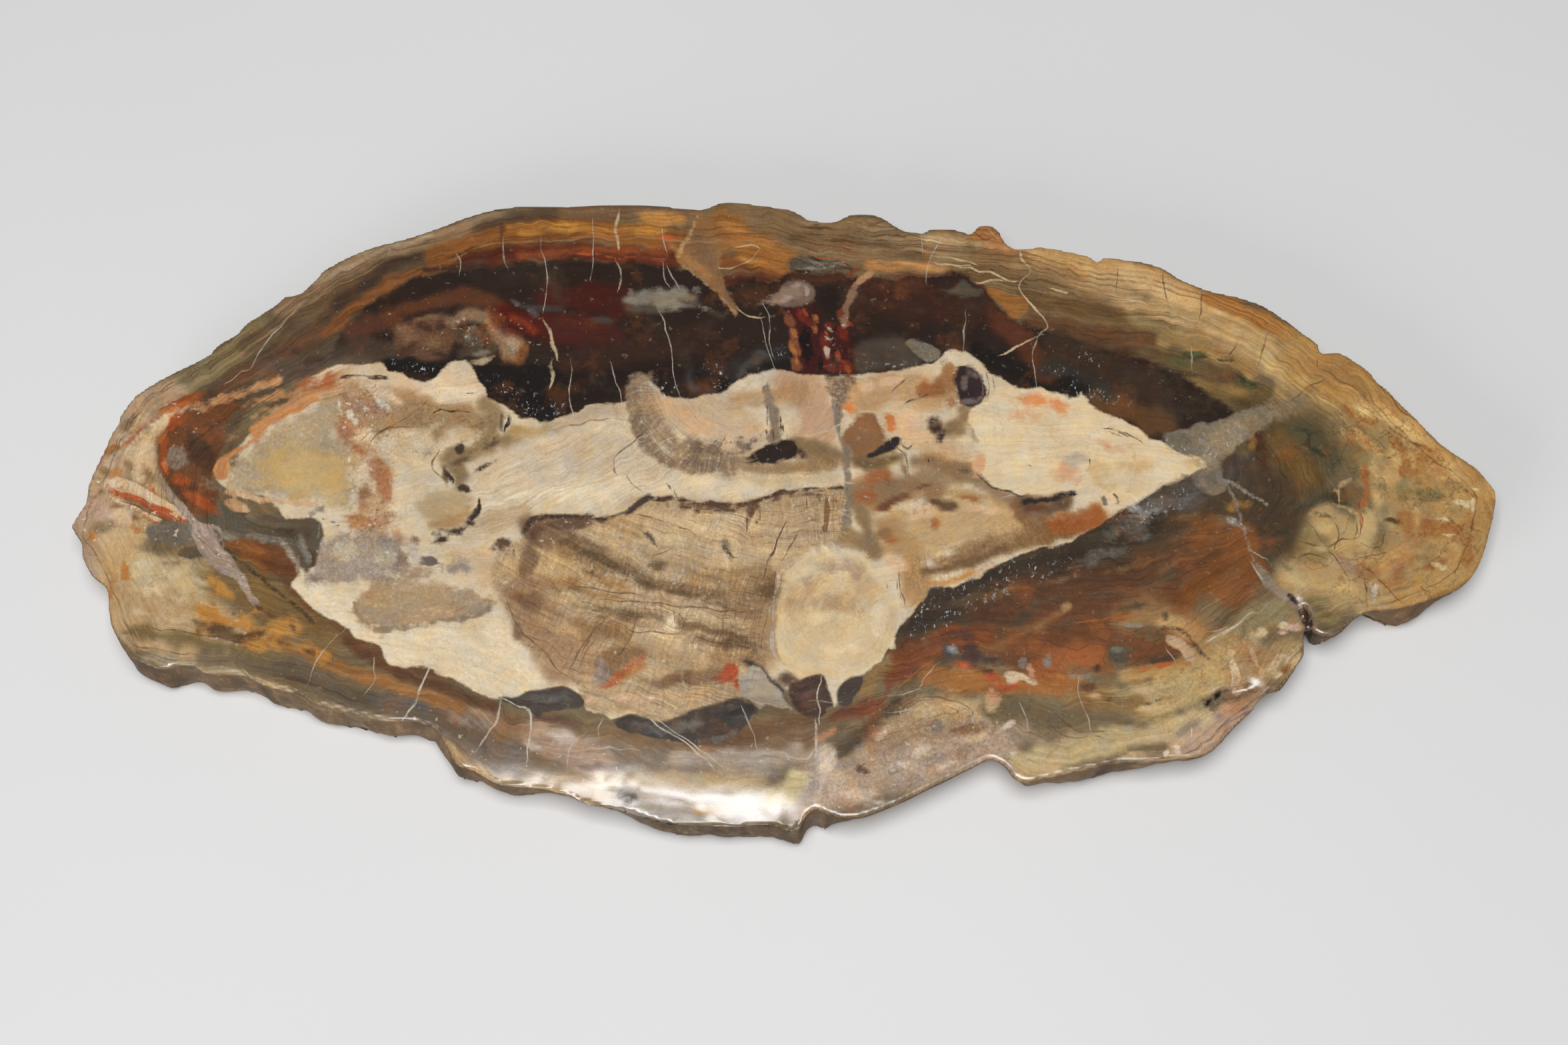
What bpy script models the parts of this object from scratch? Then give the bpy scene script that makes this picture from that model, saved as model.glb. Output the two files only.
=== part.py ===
"""A polished slice of petrified wood, lying flat with its polished face up.

One closed stone body: a flat sawn underside, a rough bark wall that leans and
swells round the rim, and a flat polished face with a softened edge, a few pits
and an open crack at the right. Metres, +Z up, +X along the slice's length.
"""
import math

import bmesh
import bpy
from mathutils import Vector, noise
from mathutils.geometry import delaunay_2d_cdt

MM = 0.001

# Driving dimensions, in millimetres
THICKNESS = 18.0
RIM_STEP = 2.9          # longest gap between points along the rim
EDGE_SOFTENING = 0.7    # how far the polished edge is rounded
FACE_STEP = 8.0         # spacing of the polished face's own points
BASE_STEP = 15.0        # spacing of the sawn underside's points
FACE_WAVE = 0.08        # how far the polished face departs from flat
BARK_ROUGH = 0.75       # height of the bark's lumps
BARK_LUMP = 9.0         # size of the bark's lumps
WALL_LEAN = -3.4        # the foot of the wall lies this far inside the rim

# The polished face's rim, clockwise from the left tip
RIM = (
    (-178.4, -1.1), (-175.4, 5.2), (-174.7, 11.4), (-171.5, 20.1), (-170.3, 23.9),
    (-168.7, 26.6), (-168.5, 28.6), (-165, 34.3), (-158.9, 38.8), (-152.3, 42.5),
    (-146.6, 45.8), (-145.4, 47.9), (-142.6, 49.9), (-140.1, 51.4), (-137.8, 54.6),
    (-135.3, 56.2), (-130, 60.2), (-128.6, 61.9), (-126.7, 62.2), (-124.5, 62.8),
    (-122.4, 65), (-120.3, 67.3), (-119.4, 69), (-112.7, 73.2), (-106.3, 76),
    (-97.8, 78.5), (-90.1, 81.3), (-82.4, 84.6), (-75.6, 86.7), (-69.2, 87.6),
    (-55.7, 87.5), (-48.4, 88.2), (-36.2, 88.2), (-21.8, 86.7), (-17.5, 88.4),
    (-14.1, 89), (-6.2, 88), (2.4, 86.5), (6.2, 83.8), (10.9, 83.2), (14.2, 83.6),
    (17, 85.2), (21, 85.5), (24.9, 84.8), (30.8, 80.8), (36.1, 80), (38, 81.1),
    (44.6, 81), (48.6, 79.6), (50.3, 81.9), (53.3, 82.3), (55.8, 80.4),
    (57.1, 77.7), (58, 76.4), (60, 75.4), (67.1, 76), (72.9, 74.9), (79.3, 73.2),
    (81.1, 71.3), (82.7, 73.2), (85.5, 72.8), (93.5, 71.6), (98.2, 69.8),
    (102.1, 66.9), (104.8, 65.6), (110.2, 63.4), (116.8, 61.9), (123.5, 59.2),
    (129.4, 54.8), (133.1, 51.6), (137, 48.2), (136.6, 45.8), (141.7, 46.4),
    (146.1, 43.6), (149.5, 40.7), (151.2, 37.9), (153.3, 36.4), (155, 34.1),
    (158.6, 30), (162.3, 25.7), (166.1, 21.3), (170.5, 17.9), (174.8, 14.7),
    (177.2, 11.4), (179, 8.6), (179, 6.1), (178.2, 2.3), (176.9, -2),
    (175.5, -6.2), (173.5, -11.1), (171.2, -14.5), (167.8, -17.6), (161.9, -19.9),
    (154.3, -22.3), (148.4, -23.5), (144.8, -23.5), (141, -25.6), (138.4, -28.4),
    (135.6, -30.3), (133, -30), (130.4, -28.7), (130.4, -27), (130.2, -24.8),
    (129.3, -22.5), (127.3, -20.4), (125.4, -19), (126.4, -21.3), (127.6, -23.4),
    (128.2, -25.3), (128.4, -27.4), (128.5, -30.5), (128.1, -35.1), (126.7, -37),
    (124.5, -40.4), (121.8, -43.9), (118.9, -44.5), (116.1, -46.9), (114.4, -49.5),
    (110.9, -52.5), (107.7, -55.9), (104.2, -59.6), (99.6, -61.3), (93.3, -61.8),
    (88.1, -62.5), (81.7, -62.5), (75.2, -63.8), (68.7, -65.2), (62.2, -66.7),
    (58.9, -67.5), (55.7, -66.2), (54.3, -64), (53, -62.6), (50.6, -61.3),
    (48.2, -62.3), (44.9, -64), (38.7, -67.2), (33.1, -70), (28.7, -72.2),
    (24.4, -74.1), (19.5, -76), (13.9, -76.5), (10.3, -75.1), (7.4, -73.7),
    (5, -76.1), (3.7, -79.1), (0.6, -79.3), (-3.4, -77.6), (-9.5, -78.1),
    (-18.7, -78.1), (-27.5, -77.6), (-35.6, -75.6), (-41.8, -73.7), (-47.8, -72.7),
    (-52.7, -70.5), (-59.2, -68.8), (-67.3, -68.3), (-71.4, -66.8), (-75.5, -64.3),
    (-79.6, -63.1), (-82.6, -57.8), (-85.7, -53.4), (-92.2, -52), (-98.8, -51.7),
    (-110, -48.8), (-116.1, -47.1), (-118.7, -44.9), (-127, -43.2),
    (-132.9, -40.3), (-142.4, -39.8), (-145.3, -37.9), (-149.4, -37.7),
    (-153.4, -38.9), (-158.2, -37), (-161.6, -35.1), (-163.4, -32.9),
    (-166.7, -26.5), (-167.8, -19.9), (-168.7, -16.9), (-172.2, -14.3),
    (-175.1, -9), (-175.6, -5.3),
)

# Places where the wall stands out instead of falling back:
# x, y, reach along the rim, and how far its foot moves out from WALL_LEAN
LEDGES = (
    (-158, -37, 20, 3.0),
    (-125, -43, 26, 2.6),
    (-118, -45, 9, 1.2),
    (-92, -52, 22, 2.4),
    (-82, -58, 6, 3.4),
    (-68, -67, 8, 1.2),
    (-47, -72, 9, -2.0),
    (-18, -78, 24, 2.2),
    (-3, -79, 8, 1.4),
    (6.8, -75, 4.5, 7.4),
    (33, -69, 24, -2.4),
    (55, -64, 6, -1.8),
    (74, -64, 12, 2.2),
    (98, -62, 8, -1.8),
    (119, -45, 8, -2.6),
    (133, -30, 6, -1.2),
    (128, -23, 5, 3.4),
    (144, -24, 5, -3.0),
    (156, -22, 5.5, 5.4),
)

# Stretches where the polished edge is worn down: x, y, reach, drop
WORN_EDGES = (
    (-28, -77, 18, 1.5),
    (-152, -38, 12, 0.5),
    (168, 2, 14, 0.5),
)
WORN_WIDTH = 8.0        # how far in from the rim the wear reaches

# Pits in the polished face: x, y, half length, half width, turn (degrees), depth
PITS = (
    (110, -45, 8.4, 2.3, 19, 2.2),
    (-38.1, -70.7, 2.2, 1.1, 5, 0.9),
    (19.3, -64.0, 1.3, 1.1, 0, 0.8),
    (146.4, -18.3, 1.8, 2.8, -8, 1.0),
)

# Rings of the wall: share of the thickness below the face, share of the lean,
# how far the bark swells out, and the share of its roughness
WALL_RINGS = (
    (0.10, 0.02, 0.25, 0.45),
    (0.30, 0.16, 0.90, 1.0),
    (0.52, 0.40, 1.10, 1.0),
    (0.76, 0.72, 0.70, 1.0),
    (1.00, 1.00, -0.30, 0.5),
)

STONE = (0.52, 0.40, 0.27, 1.0)
STONE_ROUGHNESS = 0.22


def clear_scene():
    """Start from an empty scene."""
    for old in list(bpy.data.objects):
        bpy.data.objects.remove(old)


def curve_point(a, b, c, d, t):
    """A point between b and c on a smooth curve through all four."""
    t2 = t * t
    t3 = t2 * t
    smooth = 0.5 * (2 * b + (c - a) * t + (2 * a - 5 * b + 4 * c - d) * t2
                    + (3 * b - a - 3 * c + d) * t3)
    return smooth.lerp(b.lerp(c, t), 0.4)


def rim_points():
    """The rim as a closed, evenly stepped loop, counter-clockwise."""
    corners = [Vector(p) for p in reversed(RIM)]
    count = len(corners)
    points = []
    for i in range(count):
        a, b = corners[i - 1], corners[i]
        c, d = corners[(i + 1) % count], corners[(i + 2) % count]
        pieces = max(1, math.ceil((c - b).length / RIM_STEP))
        for k in range(pieces):
            points.append(curve_point(a, b, c, d, k / pieces))
    return points


def outward(points, reach):
    """The direction out of the loop at each point, averaged over its neighbours."""
    count = len(points)
    sides = []
    for i in range(count):
        along = points[(i + 1) % count] - points[i - 1]
        sides.append(Vector((along.y, -along.x)).normalized())
    if reach == 0:
        return sides
    spread = []
    for i in range(count):
        total = Vector((0, 0))
        for k in range(-reach, reach + 1):
            total += sides[(i + k) % count]
        spread.append(total / (2 * reach + 1))
    return spread


def spot_sum(point, spots):
    """Sum of soft round spots (x, y, reach, height) at a point."""
    total = 0.0
    for x, y, reach, height in spots:
        away = (point - Vector((x, y))).length / reach
        total += height * math.exp(-away * away)
    return total


def bark(x, y, z):
    """Lumps and ridges of the bark, about -1 to 1; ridges run up the wall."""
    lumps = noise.noise(Vector((x, y, z * 0.7)) / BARK_LUMP)
    ridges = noise.noise(Vector((x, y, z * 0.25)) / (BARK_LUMP * 0.45) + Vector((7, 3, 1)))
    return 0.65 * lumps + 0.6 * ridges


def wall_ring(edge, ways, share, lean_share, swell, rough):
    """One ring of the wall, a share of the way down from the polished edge."""
    ring = []
    for point, way in zip(edge, ways):
        z = point.z * (1 - share)
        lean = min(0.4, WALL_LEAN + spot_sum(point.xy, LEDGES))
        out = lean * lean_share + rough * BARK_ROUGH * bark(point.x, point.y, z)
        out += swell * max(0.0, 1 + lean / 6)
        ring.append(Vector((point.x + way.x * out, point.y + way.y * out, z)))
    return ring


def gap_to(loop, x, y):
    """Distance from a place to the nearest point of a loop."""
    return min(math.hypot(p.x - x, p.y - y) for p in loop)


def inside(loop, x, y):
    """Whether a place is inside a closed loop."""
    held = False
    for i, b in enumerate(loop):
        a = loop[i - 1]
        if (a.y > y) != (b.y > y):
            if x < (b.x - a.x) * (y - a.y) / (b.y - a.y) + a.x:
                held = not held
    return held


def pit_place(pit, x, y):
    """A place in a pit's own axes, with the pit's wall at radius 1."""
    turn = math.radians(pit[4])
    dx, dy = x - pit[0], y - pit[1]
    along = (dx * math.cos(turn) + dy * math.sin(turn)) / pit[2]
    across = (dy * math.cos(turn) - dx * math.sin(turn)) / pit[3]
    return math.hypot(along, across)


def face_height(loop, x, y):
    """Height of the polished face: near flat, worn at some edges, with pits."""
    z = THICKNESS + FACE_WAVE * noise.noise(Vector((x, y, 0)) / 40)
    worn = spot_sum(Vector((x, y)), WORN_EDGES)
    if worn > 0.02:
        near = max(0.0, 1 - gap_to(loop, x, y) / WORN_WIDTH)
        z -= worn * near * near
    for pit in PITS:
        place = pit_place(pit, x, y)
        if place < 1:
            z -= pit[5] * (1 - place ** 2.2)
    return z


def grid_points(loop, step, margin):
    """Staggered, slightly uneven points inside a loop."""
    found = []
    rows = range(-int(90 / step), int(96 / step) + 1)
    columns = range(-int(182 / step), int(182 / step) + 1)
    for j in rows:
        for i in columns:
            x = (i + 0.5 * (j % 2)) * step
            y = j * step * 0.87
            x += 0.25 * step * math.sin(2.3 * i + 1.7 * j)
            y += 0.25 * step * math.sin(3.1 * j - 1.3 * i)
            clear = all(pit_place(p, x, y) > 1.35 for p in PITS)
            if clear and inside(loop, x, y) and gap_to(loop, x, y) > margin:
                found.append((x, y))
    return found


def pit_points():
    """Extra points that carry each pit's wall and floor."""
    found = []
    for x, y, length, width, turn, _ in PITS:
        turn = math.radians(turn)
        spokes = 14 if length > 4 else 8
        for share in (1.15, 0.98, 0.6):
            for k in range(spokes):
                a = 2 * math.pi * (k + share) / spokes
                wobble = share * (1 + 0.12 * math.sin(3 * a + x))
                along = math.cos(a) * length * wobble
                across = math.sin(a) * width * wobble
                found.append((x + along * math.cos(turn) - across * math.sin(turn),
                              y + along * math.sin(turn) + across * math.cos(turn)))
        found.append((x, y))
    return found


def fill(loop, extra):
    """Triangles filling a loop through the extra points: places, triangles."""
    places = [Vector((p.x, p.y)) for p in loop] + [Vector(p) for p in extra]
    faces = [list(range(len(loop)))]
    out = delaunay_2d_cdt(places, [], faces, 1, 1e-6)
    return out[0], out[2], out[3]


def add_sheet(body, ring, extra, height, flip):
    """Fill a ring of the body with a sheet of triangles."""
    places, triangles, origins = fill([v.co for v in ring], extra)
    verts = []
    for place, origin in zip(places, origins):
        on_ring = [o for o in origin if o < len(ring)]
        if on_ring:
            verts.append(ring[on_ring[0]])
        else:
            verts.append(body.verts.new((place.x, place.y, height(place.x, place.y))))
    for corners in triangles:
        order = reversed(corners) if flip else corners
        body.faces.new([verts[i] for i in order])


def add_ring(body, ring):
    """Add a ring's vertices to the body."""
    return [body.verts.new(p) for p in ring]


def join_rings(body, upper, lower):
    """Wall quads, each split along its shorter diagonal."""
    count = len(upper)
    for i in range(count):
        k = (i + 1) % count
        a, b, c, d = upper[i], upper[k], lower[k], lower[i]
        if (a.co - c.co).length < (b.co - d.co).length:
            body.faces.new((a, d, c))
            body.faces.new((a, c, b))
        else:
            body.faces.new((a, d, b))
            body.faces.new((d, c, b))


def slice_body():
    """The whole slice as one closed body, in millimetres."""
    rim = rim_points()
    sharp = outward(rim, 1)
    soft = outward(rim, 4)
    loop = [p - w * EDGE_SOFTENING for p, w in zip(rim, sharp)]
    body = bmesh.new()
    face_ring = [Vector((p.x, p.y, face_height(rim, p.x, p.y))) for p in loop]
    edge_ring = []
    for p in rim:
        drop = EDGE_SOFTENING * 0.8
        edge_ring.append(Vector((p.x, p.y, face_height(rim, p.x, p.y) - drop)))
    rings = [add_ring(body, face_ring), add_ring(body, edge_ring)]
    for share, lean_share, swell, rough in WALL_RINGS:
        rings.append(add_ring(body, wall_ring(edge_ring, soft, share, lean_share, swell, rough)))
    for upper, lower in zip(rings, rings[1:]):
        join_rings(body, upper, lower)
    face_extra = grid_points(loop, FACE_STEP, 3.0) + pit_points()
    add_sheet(body, rings[0], face_extra, lambda x, y: face_height(rim, x, y), False)
    foot = [v.co for v in rings[-1]]
    add_sheet(body, rings[-1], grid_points(foot, BASE_STEP, 6.0), lambda x, y: 0.0, True)
    return body


def centre_on_base(body):
    """Put the origin at the middle of the footprint's box, on the underside."""
    xs = [v.co.x for v in body.verts]
    ys = [v.co.y for v in body.verts]
    middle = Vector(((min(xs) + max(xs)) / 2, (min(ys) + max(ys)) / 2, 0))
    for vert in body.verts:
        vert.co = (vert.co - middle) * MM
    return middle


def stone_material():
    """The slice's polished stone."""
    material = bpy.data.materials.new("petrified_wood")
    material.use_nodes = True
    shader = material.node_tree.nodes["Principled BSDF"]
    shader.inputs["Base Color"].default_value = STONE
    shader.inputs["Roughness"].default_value = STONE_ROUGHNESS
    shader.inputs["Metallic"].default_value = 0.0
    return material


def build_slice():
    """Model the slice as one named object in a collection of its own."""
    body = slice_body()
    centre_on_base(body)
    mesh = bpy.data.meshes.new("petrified_wood_slice")
    body.to_mesh(mesh)
    body.free()
    stone = bpy.data.objects.new("petrified_wood_slice", mesh)
    mesh.materials.append(stone_material())
    folder = bpy.data.collections.new("petrified_wood_slice")
    bpy.context.scene.collection.children.link(folder)
    folder.objects.link(stone)
    return stone


clear_scene()
build_slice()
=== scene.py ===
"""A polished slice of petrified wood on a pale floor, looked down on from the front."""
import math

import bpy
import numpy as np
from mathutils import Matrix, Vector


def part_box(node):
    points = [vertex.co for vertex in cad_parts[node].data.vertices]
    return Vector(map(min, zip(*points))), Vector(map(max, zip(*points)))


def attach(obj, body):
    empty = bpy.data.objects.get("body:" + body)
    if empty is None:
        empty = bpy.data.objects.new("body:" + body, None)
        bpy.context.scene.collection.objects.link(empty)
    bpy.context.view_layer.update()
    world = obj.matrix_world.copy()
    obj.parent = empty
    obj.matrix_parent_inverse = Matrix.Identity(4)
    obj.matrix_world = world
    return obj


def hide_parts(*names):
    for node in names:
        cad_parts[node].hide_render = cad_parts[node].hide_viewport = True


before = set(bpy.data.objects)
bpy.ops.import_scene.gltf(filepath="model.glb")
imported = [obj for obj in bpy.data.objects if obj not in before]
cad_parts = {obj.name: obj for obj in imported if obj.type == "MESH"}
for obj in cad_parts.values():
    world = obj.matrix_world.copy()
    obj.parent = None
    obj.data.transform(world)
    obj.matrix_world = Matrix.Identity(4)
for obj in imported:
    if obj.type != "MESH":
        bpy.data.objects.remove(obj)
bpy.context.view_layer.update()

# The photograph's frame and the camera that took it
PHOTO_WIDE, PHOTO_HIGH = 2352, 1568
LENS_MM, SENSOR_MM = 70.0, 36.0
CAMERA_TILT = math.radians(70)          # above the horizon
CAMERA_REACH = 0.763                    # metres from the aim point
CAMERA_AIM = Vector((-0.0003, -0.0046, 0.018))
FOCAL_PX = LENS_MM / SENSOR_MM * PHOTO_WIDE

# The stone, in metres
FACE_HEIGHT = 0.018                     # polished face above the underside
SKIN_STEP = 0.00083                     # spacing of the modelled skin
DOUBLES = 0.000001                      # points closer than this are one point
UNDERSIDE_SHARE = 0.05                  # share of the underside's faces that stay
UNDERSIDE_FACING = -0.95                # the underside's faces look down at least this much
UNDERSIDE_TOP = 0.0006                  # and lie no higher than this
BARK_LUMPS = 0.0010                     # depth of the bark wall's lumps
BARK_FLAKES = 0.0006                    # depth of its small flakes

# Colours of the stone
CREAM = "#D3BF9C"
OCHRE = "#96693A"
OLIVE = "#75654A"
COAL = "#1B1512"
CRUST = "#B99E82"


def shade(hex_colour):
    """A colour as plain red, green and blue from 0 to 1."""
    return np.array([int(hex_colour[i:i + 2], 16) / 255 for i in (1, 3, 5)])


def linear(values):
    """Plain red, green and blue as the renderer's linear values."""
    values = np.asarray(values, float)
    return np.where(values <= 0.04045, values / 12.92, ((values + 0.055) / 1.055) ** 2.4)


# ---------------------------------------------------------------- the stone's body

def cut_blank():
    """A copy of the sawn slice with an even skin, coarse only on its underside."""
    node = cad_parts["petrified_wood_slice"]
    bpy.ops.object.select_all(action="DESELECT")
    blank = bpy.data.objects.new("polished_wood_slice", node.data.copy())
    blank.data.materials.clear()
    bpy.context.scene.collection.objects.link(blank)
    blank.select_set(True)
    bpy.context.view_layer.objects.active = blank
    bpy.ops.object.mode_set(mode="EDIT")
    bpy.ops.mesh.select_all(action="SELECT")
    bpy.ops.mesh.remove_doubles(threshold=DOUBLES)
    bpy.ops.object.mode_set(mode="OBJECT")
    skin = blank.modifiers.new("even_skin", "REMESH")
    skin.mode = "VOXEL"
    skin.voxel_size = SKIN_STEP
    bpy.ops.object.modifier_apply(modifier=skin.name)
    thin_underside(blank)
    return blank


def thin_underside(blank):
    """The flat underside keeps only a few large faces."""
    mesh = blank.data
    bpy.ops.object.mode_set(mode="EDIT")
    bpy.ops.mesh.select_all(action="DESELECT")
    bpy.ops.object.mode_set(mode="OBJECT")
    normal = np.zeros(len(mesh.polygons) * 3, np.float32)
    centre = np.zeros(len(mesh.polygons) * 3, np.float32)
    mesh.polygons.foreach_get("normal", normal)
    mesh.polygons.foreach_get("center", centre)
    under = normal.reshape(-1, 3)[:, 2] < UNDERSIDE_FACING
    under &= centre.reshape(-1, 3)[:, 2] < UNDERSIDE_TOP
    mesh.polygons.foreach_set("select", under)
    bpy.ops.object.mode_set(mode="EDIT")
    bpy.ops.mesh.decimate(ratio=UNDERSIDE_SHARE)
    bpy.ops.object.mode_set(mode="OBJECT")


def places(mesh):
    """Every vertex's place."""
    co = np.zeros(len(mesh.vertices) * 3, np.float32)
    mesh.vertices.foreach_get("co", co)
    return co.reshape(-1, 3).astype(float)


def facing(mesh):
    """Every vertex's normal."""
    ways = np.zeros(len(mesh.vertices) * 3, np.float32)
    mesh.vertex_normals.foreach_get("vector", ways)
    return ways.reshape(-1, 3).astype(float)


def cloud(x, y, size, seed):
    """Smooth uneven values from -1 to 1, with blotches of the given size."""
    table = np.random.default_rng(seed).uniform(-1, 1, (257, 257))
    u, v = x / size, y / size
    i, j = np.floor(u).astype(int), np.floor(v).astype(int)
    s, t = u - i, v - j
    s, t = s * s * (3 - 2 * s), t * t * (3 - 2 * t)
    i, j = i % 256, j % 256
    low = table[i, j] * (1 - s) + table[i + 1, j] * s
    high = table[i, j + 1] * (1 - s) + table[i + 1, j + 1] * s
    return low * (1 - t) + high * t


def step_up(value, low, high):
    """0 below low, 1 above high, smooth between."""
    t = np.clip((value - low) / (high - low), 0, 1)
    return t * t * (3 - 2 * t)


stone = cut_blank()
co = places(stone.data)
ways = facing(stone.data)
count = len(co)


def camera_place():
    """Where the camera stands."""
    return CAMERA_AIM + CAMERA_REACH * Vector((0, -math.cos(CAMERA_TILT), math.sin(CAMERA_TILT)))


def photo_place(x, y):
    """Where a place of the polished face shows in the photograph, in its pixels."""
    tilt = CAMERA_TILT
    eye = camera_place()
    dx, dy, dz = x - eye.x, y - eye.y, FACE_HEIGHT - eye.z
    depth = dy * math.cos(tilt) - dz * math.sin(tilt)
    rise = dy * math.sin(tilt) + dz * math.cos(tilt)
    return PHOTO_WIDE / 2 + FOCAL_PX * dx / depth, PHOTO_HIGH / 2 - FOCAL_PX * rise / depth


px, py = photo_place(co[:, 0], co[:, 1])
true_x, true_y = px.copy(), py.copy()


# ---------------------------------------------------------------- drawing on the stone
#
# Outlines and strokes are in the photograph's pixels: x and y of the first point, then steps
# from point to point. A smooth line is laid through the points.

def curve(points, closed):
    """A smooth line through points, given as pairs or as one row: the first point, then steps."""
    p = np.array(points, float)
    if p.ndim == 1:
        p = p.reshape(-1, 2).cumsum(axis=0)
    n = len(p)
    if n < 3:
        return p
    line = []
    for i in range(n if closed else n - 1):
        a = p[i - 1] if closed or i else p[0]
        b, c = p[i], p[(i + 1) % n]
        d = p[(i + 2) % n] if closed or i + 2 < n else p[-1]
        pieces = max(1, min(6, int(np.hypot(*(c - b)) / 7)))
        for k in range(pieces):
            t = k / pieces
            line.append(0.5 * (2 * b + (c - a) * t + (2 * a - 5 * b + 4 * c - d) * t * t
                               + (3 * b - a - 3 * c + d) * t ** 3))
    if not closed:
        line.append(p[-1])
    return np.array(line)


def near(line, reach):
    """The vertices within reach of a line's box."""
    low, high = line.min(0) - reach, line.max(0) + reach
    return np.flatnonzero((px > low[0]) & (px < high[0]) & (py > low[1]) & (py < high[1]))


def gap(line, closed, which):
    """For some vertices: distance to a line, side, share along it, reach past its ends, inside."""
    x, y = px[which], py[which]
    best = np.full(len(which), 1e9)
    side = np.ones(len(which))
    share = np.zeros(len(which))
    past = np.zeros(len(which))
    inside = np.zeros(len(which), bool)
    ends = np.roll(line, -1, axis=0) if closed else line[1:]
    starts = line if closed else line[:-1]
    lengths = np.hypot(*(ends - starts).T)
    total = max(lengths.sum(), 1e-6)
    run = 0.0
    for k, ((ax, ay), (bx, by), size) in enumerate(zip(starts, ends, lengths)):
        dx, dy = bx - ax, by - ay
        t = ((x - ax) * dx + (y - ay) * dy) / max(dx * dx + dy * dy, 1e-9)
        held = np.clip(t, 0, 1)
        away = np.hypot(x - ax - held * dx, y - ay - held * dy)
        closer = away < best
        best = np.where(closer, away, best)
        side = np.where(closer, np.sign(dx * (y - ay) - dy * (x - ax) + 1e-9), side)
        share = np.where(closer, (run + held * size) / total, share)
        over = np.zeros(len(which))
        if k == 0:
            over = np.maximum(over, -t * size)
        if k == len(starts) - 1:
            over = np.maximum(over, (t - 1) * size)
        past = np.where(closer, over, past)
        run += size
        if closed:
            crosses = (ay > y) != (by > y)
            inside ^= crosses & (x < dx * (y - ay) / (dy if dy else 1e-9) + ax)
    return best, side, share, past, inside


def depth_in(points, reach):
    """How deep vertices lie inside a closed outline, in pixels; below 0 outside it."""
    line = curve(points, True)
    which = near(line, reach)
    away, _, _, _, inside = gap(line, True, which)
    return which, np.where(inside, away, -away)


def depth_on(points, width, reach):
    """How deep vertices lie inside a stroke, whose width may change to its end."""
    line = curve(points, False)
    first, last = width if isinstance(width, tuple) else (width, width)
    which = near(line, reach + max(first, last) / 2)
    away, _, share, _, _ = gap(line, False, which)
    return which, (first + (last - first) * share) / 2 - away


WANDER = 4.2                            # how far drawn edges wander, in pixels
WIDE_SWAY, FINE_SWAY = 34, 15           # sizes of that wandering, in pixels
WIDE_RAGGED, FINE_RAGGED = 26, 11       # sizes of the raggedness of edges, in pixels


def wander(wide_seed, fine_seed):
    """How far drawn edges wander at every vertex, one way, in pixels."""
    return WANDER * (0.7 * cloud(true_x, true_y, WIDE_SWAY, wide_seed)
                     + 0.6 * cloud(true_x, true_y, FINE_SWAY, fine_seed))


px = px + wander(1, 2)
py = py + wander(5, 6)
ragged_big = cloud(true_x, true_y, WIDE_RAGGED, 3)
ragged_small = cloud(true_x, true_y, FINE_RAGGED, 4)

COATS = 20                              # coats of markings that may lie over each other
FAR = 8.0                               # the most that an edge value says
base_paint = {}
base_edge = {}
coat_paint = np.zeros((COATS, count, 3))
coat_edge = np.full((COATS, count), -FAR)
coat_top = np.zeros(count, int)
TEXTURES = ("streaks", "bands", "rays", "speckle", "stains", "threads", "pale_flecks", "dark_flecks")
grain = np.zeros((count, len(TEXTURES)))  # how strong each texture is
glint = np.zeros(count)


def region(points, soft, width):
    """Vertices of a patch or stroke, and how deep they lie, in widths of its soft edge."""
    reach = 3 * soft + 14
    which, deep = depth_in(points, reach) if width is None else depth_on(points, width, reach)
    return which, deep / soft


def set_grain(which, cover, strengths):
    """Sets the named textures' strengths where a patch covers the stone."""
    for name, much in strengths.items():
        k = TEXTURES.index(name)
        grain[which, k] = grain[which, k] * (1 - cover) + much * cover


def ground(name, colour, points=None, soft=3.0, **strengths):
    """A broad base coat, over the whole stone or inside an outline."""
    base_paint[name] = np.tile(shade(colour), (count, 1))
    base_edge[name] = np.full(count, FAR if points is None else -FAR)
    which, cover = np.arange(count), np.ones(count)
    if points is not None:
        which, deep = region(points, soft, None)
        base_edge[name][which] = np.clip(deep, -FAR, FAR)
        cover = step_up(deep, -1, 1)
    set_grain(which, cover, strengths)


def wash(name, colour, points, soft=12, width=None, much=1.0, rough=0.6):
    """Soft paint blended into a base coat."""
    which, deep = region(points, soft, width)
    uneven = rough * (ragged_big[which] + 0.6 * ragged_small[which])
    cover = (much * step_up(deep + uneven, -1, 1))[:, None]
    paint = base_paint[name]
    paint[which] = paint[which] * (1 - cover) + shade(colour) * cover


def lay_coat(colour, which, deep, soft, full, strengths):
    """Paints a marking on the first coat above all that it touches."""
    taken = deep > -2.2 - 7 / soft
    which, deep = which[taken], np.minimum(deep[taken], full)
    level = coat_top[which].max()
    coat_top[which] = level + 1
    coat_paint[level, which] = shade(colour)
    coat_edge[level, which] = np.clip(deep, -FAR, FAR)
    set_grain(which, step_up(deep, -1, 1), strengths)


def patch(colour, points, soft=1.6, width=None, rough=0.4, full=FAR, **strengths):
    """A marking with its own edge; with full near 0 the stone under it shows through."""
    which, deep = region(points, soft, width)
    deep = deep + rough * (ragged_big[which] + ragged_small[which])
    lay_coat(colour, which, deep, soft, full, strengths)


def ovals_of(row):
    """Ovals from a row of numbers, five for each: x, y, length, width and turn (degrees, clockwise).

    From the second oval on, x and y are steps from the oval before.
    """
    ovals = np.array(row, float).reshape(-1, 5)
    ovals[:, :2] = ovals[:, :2].cumsum(axis=0)
    return ovals


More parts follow.
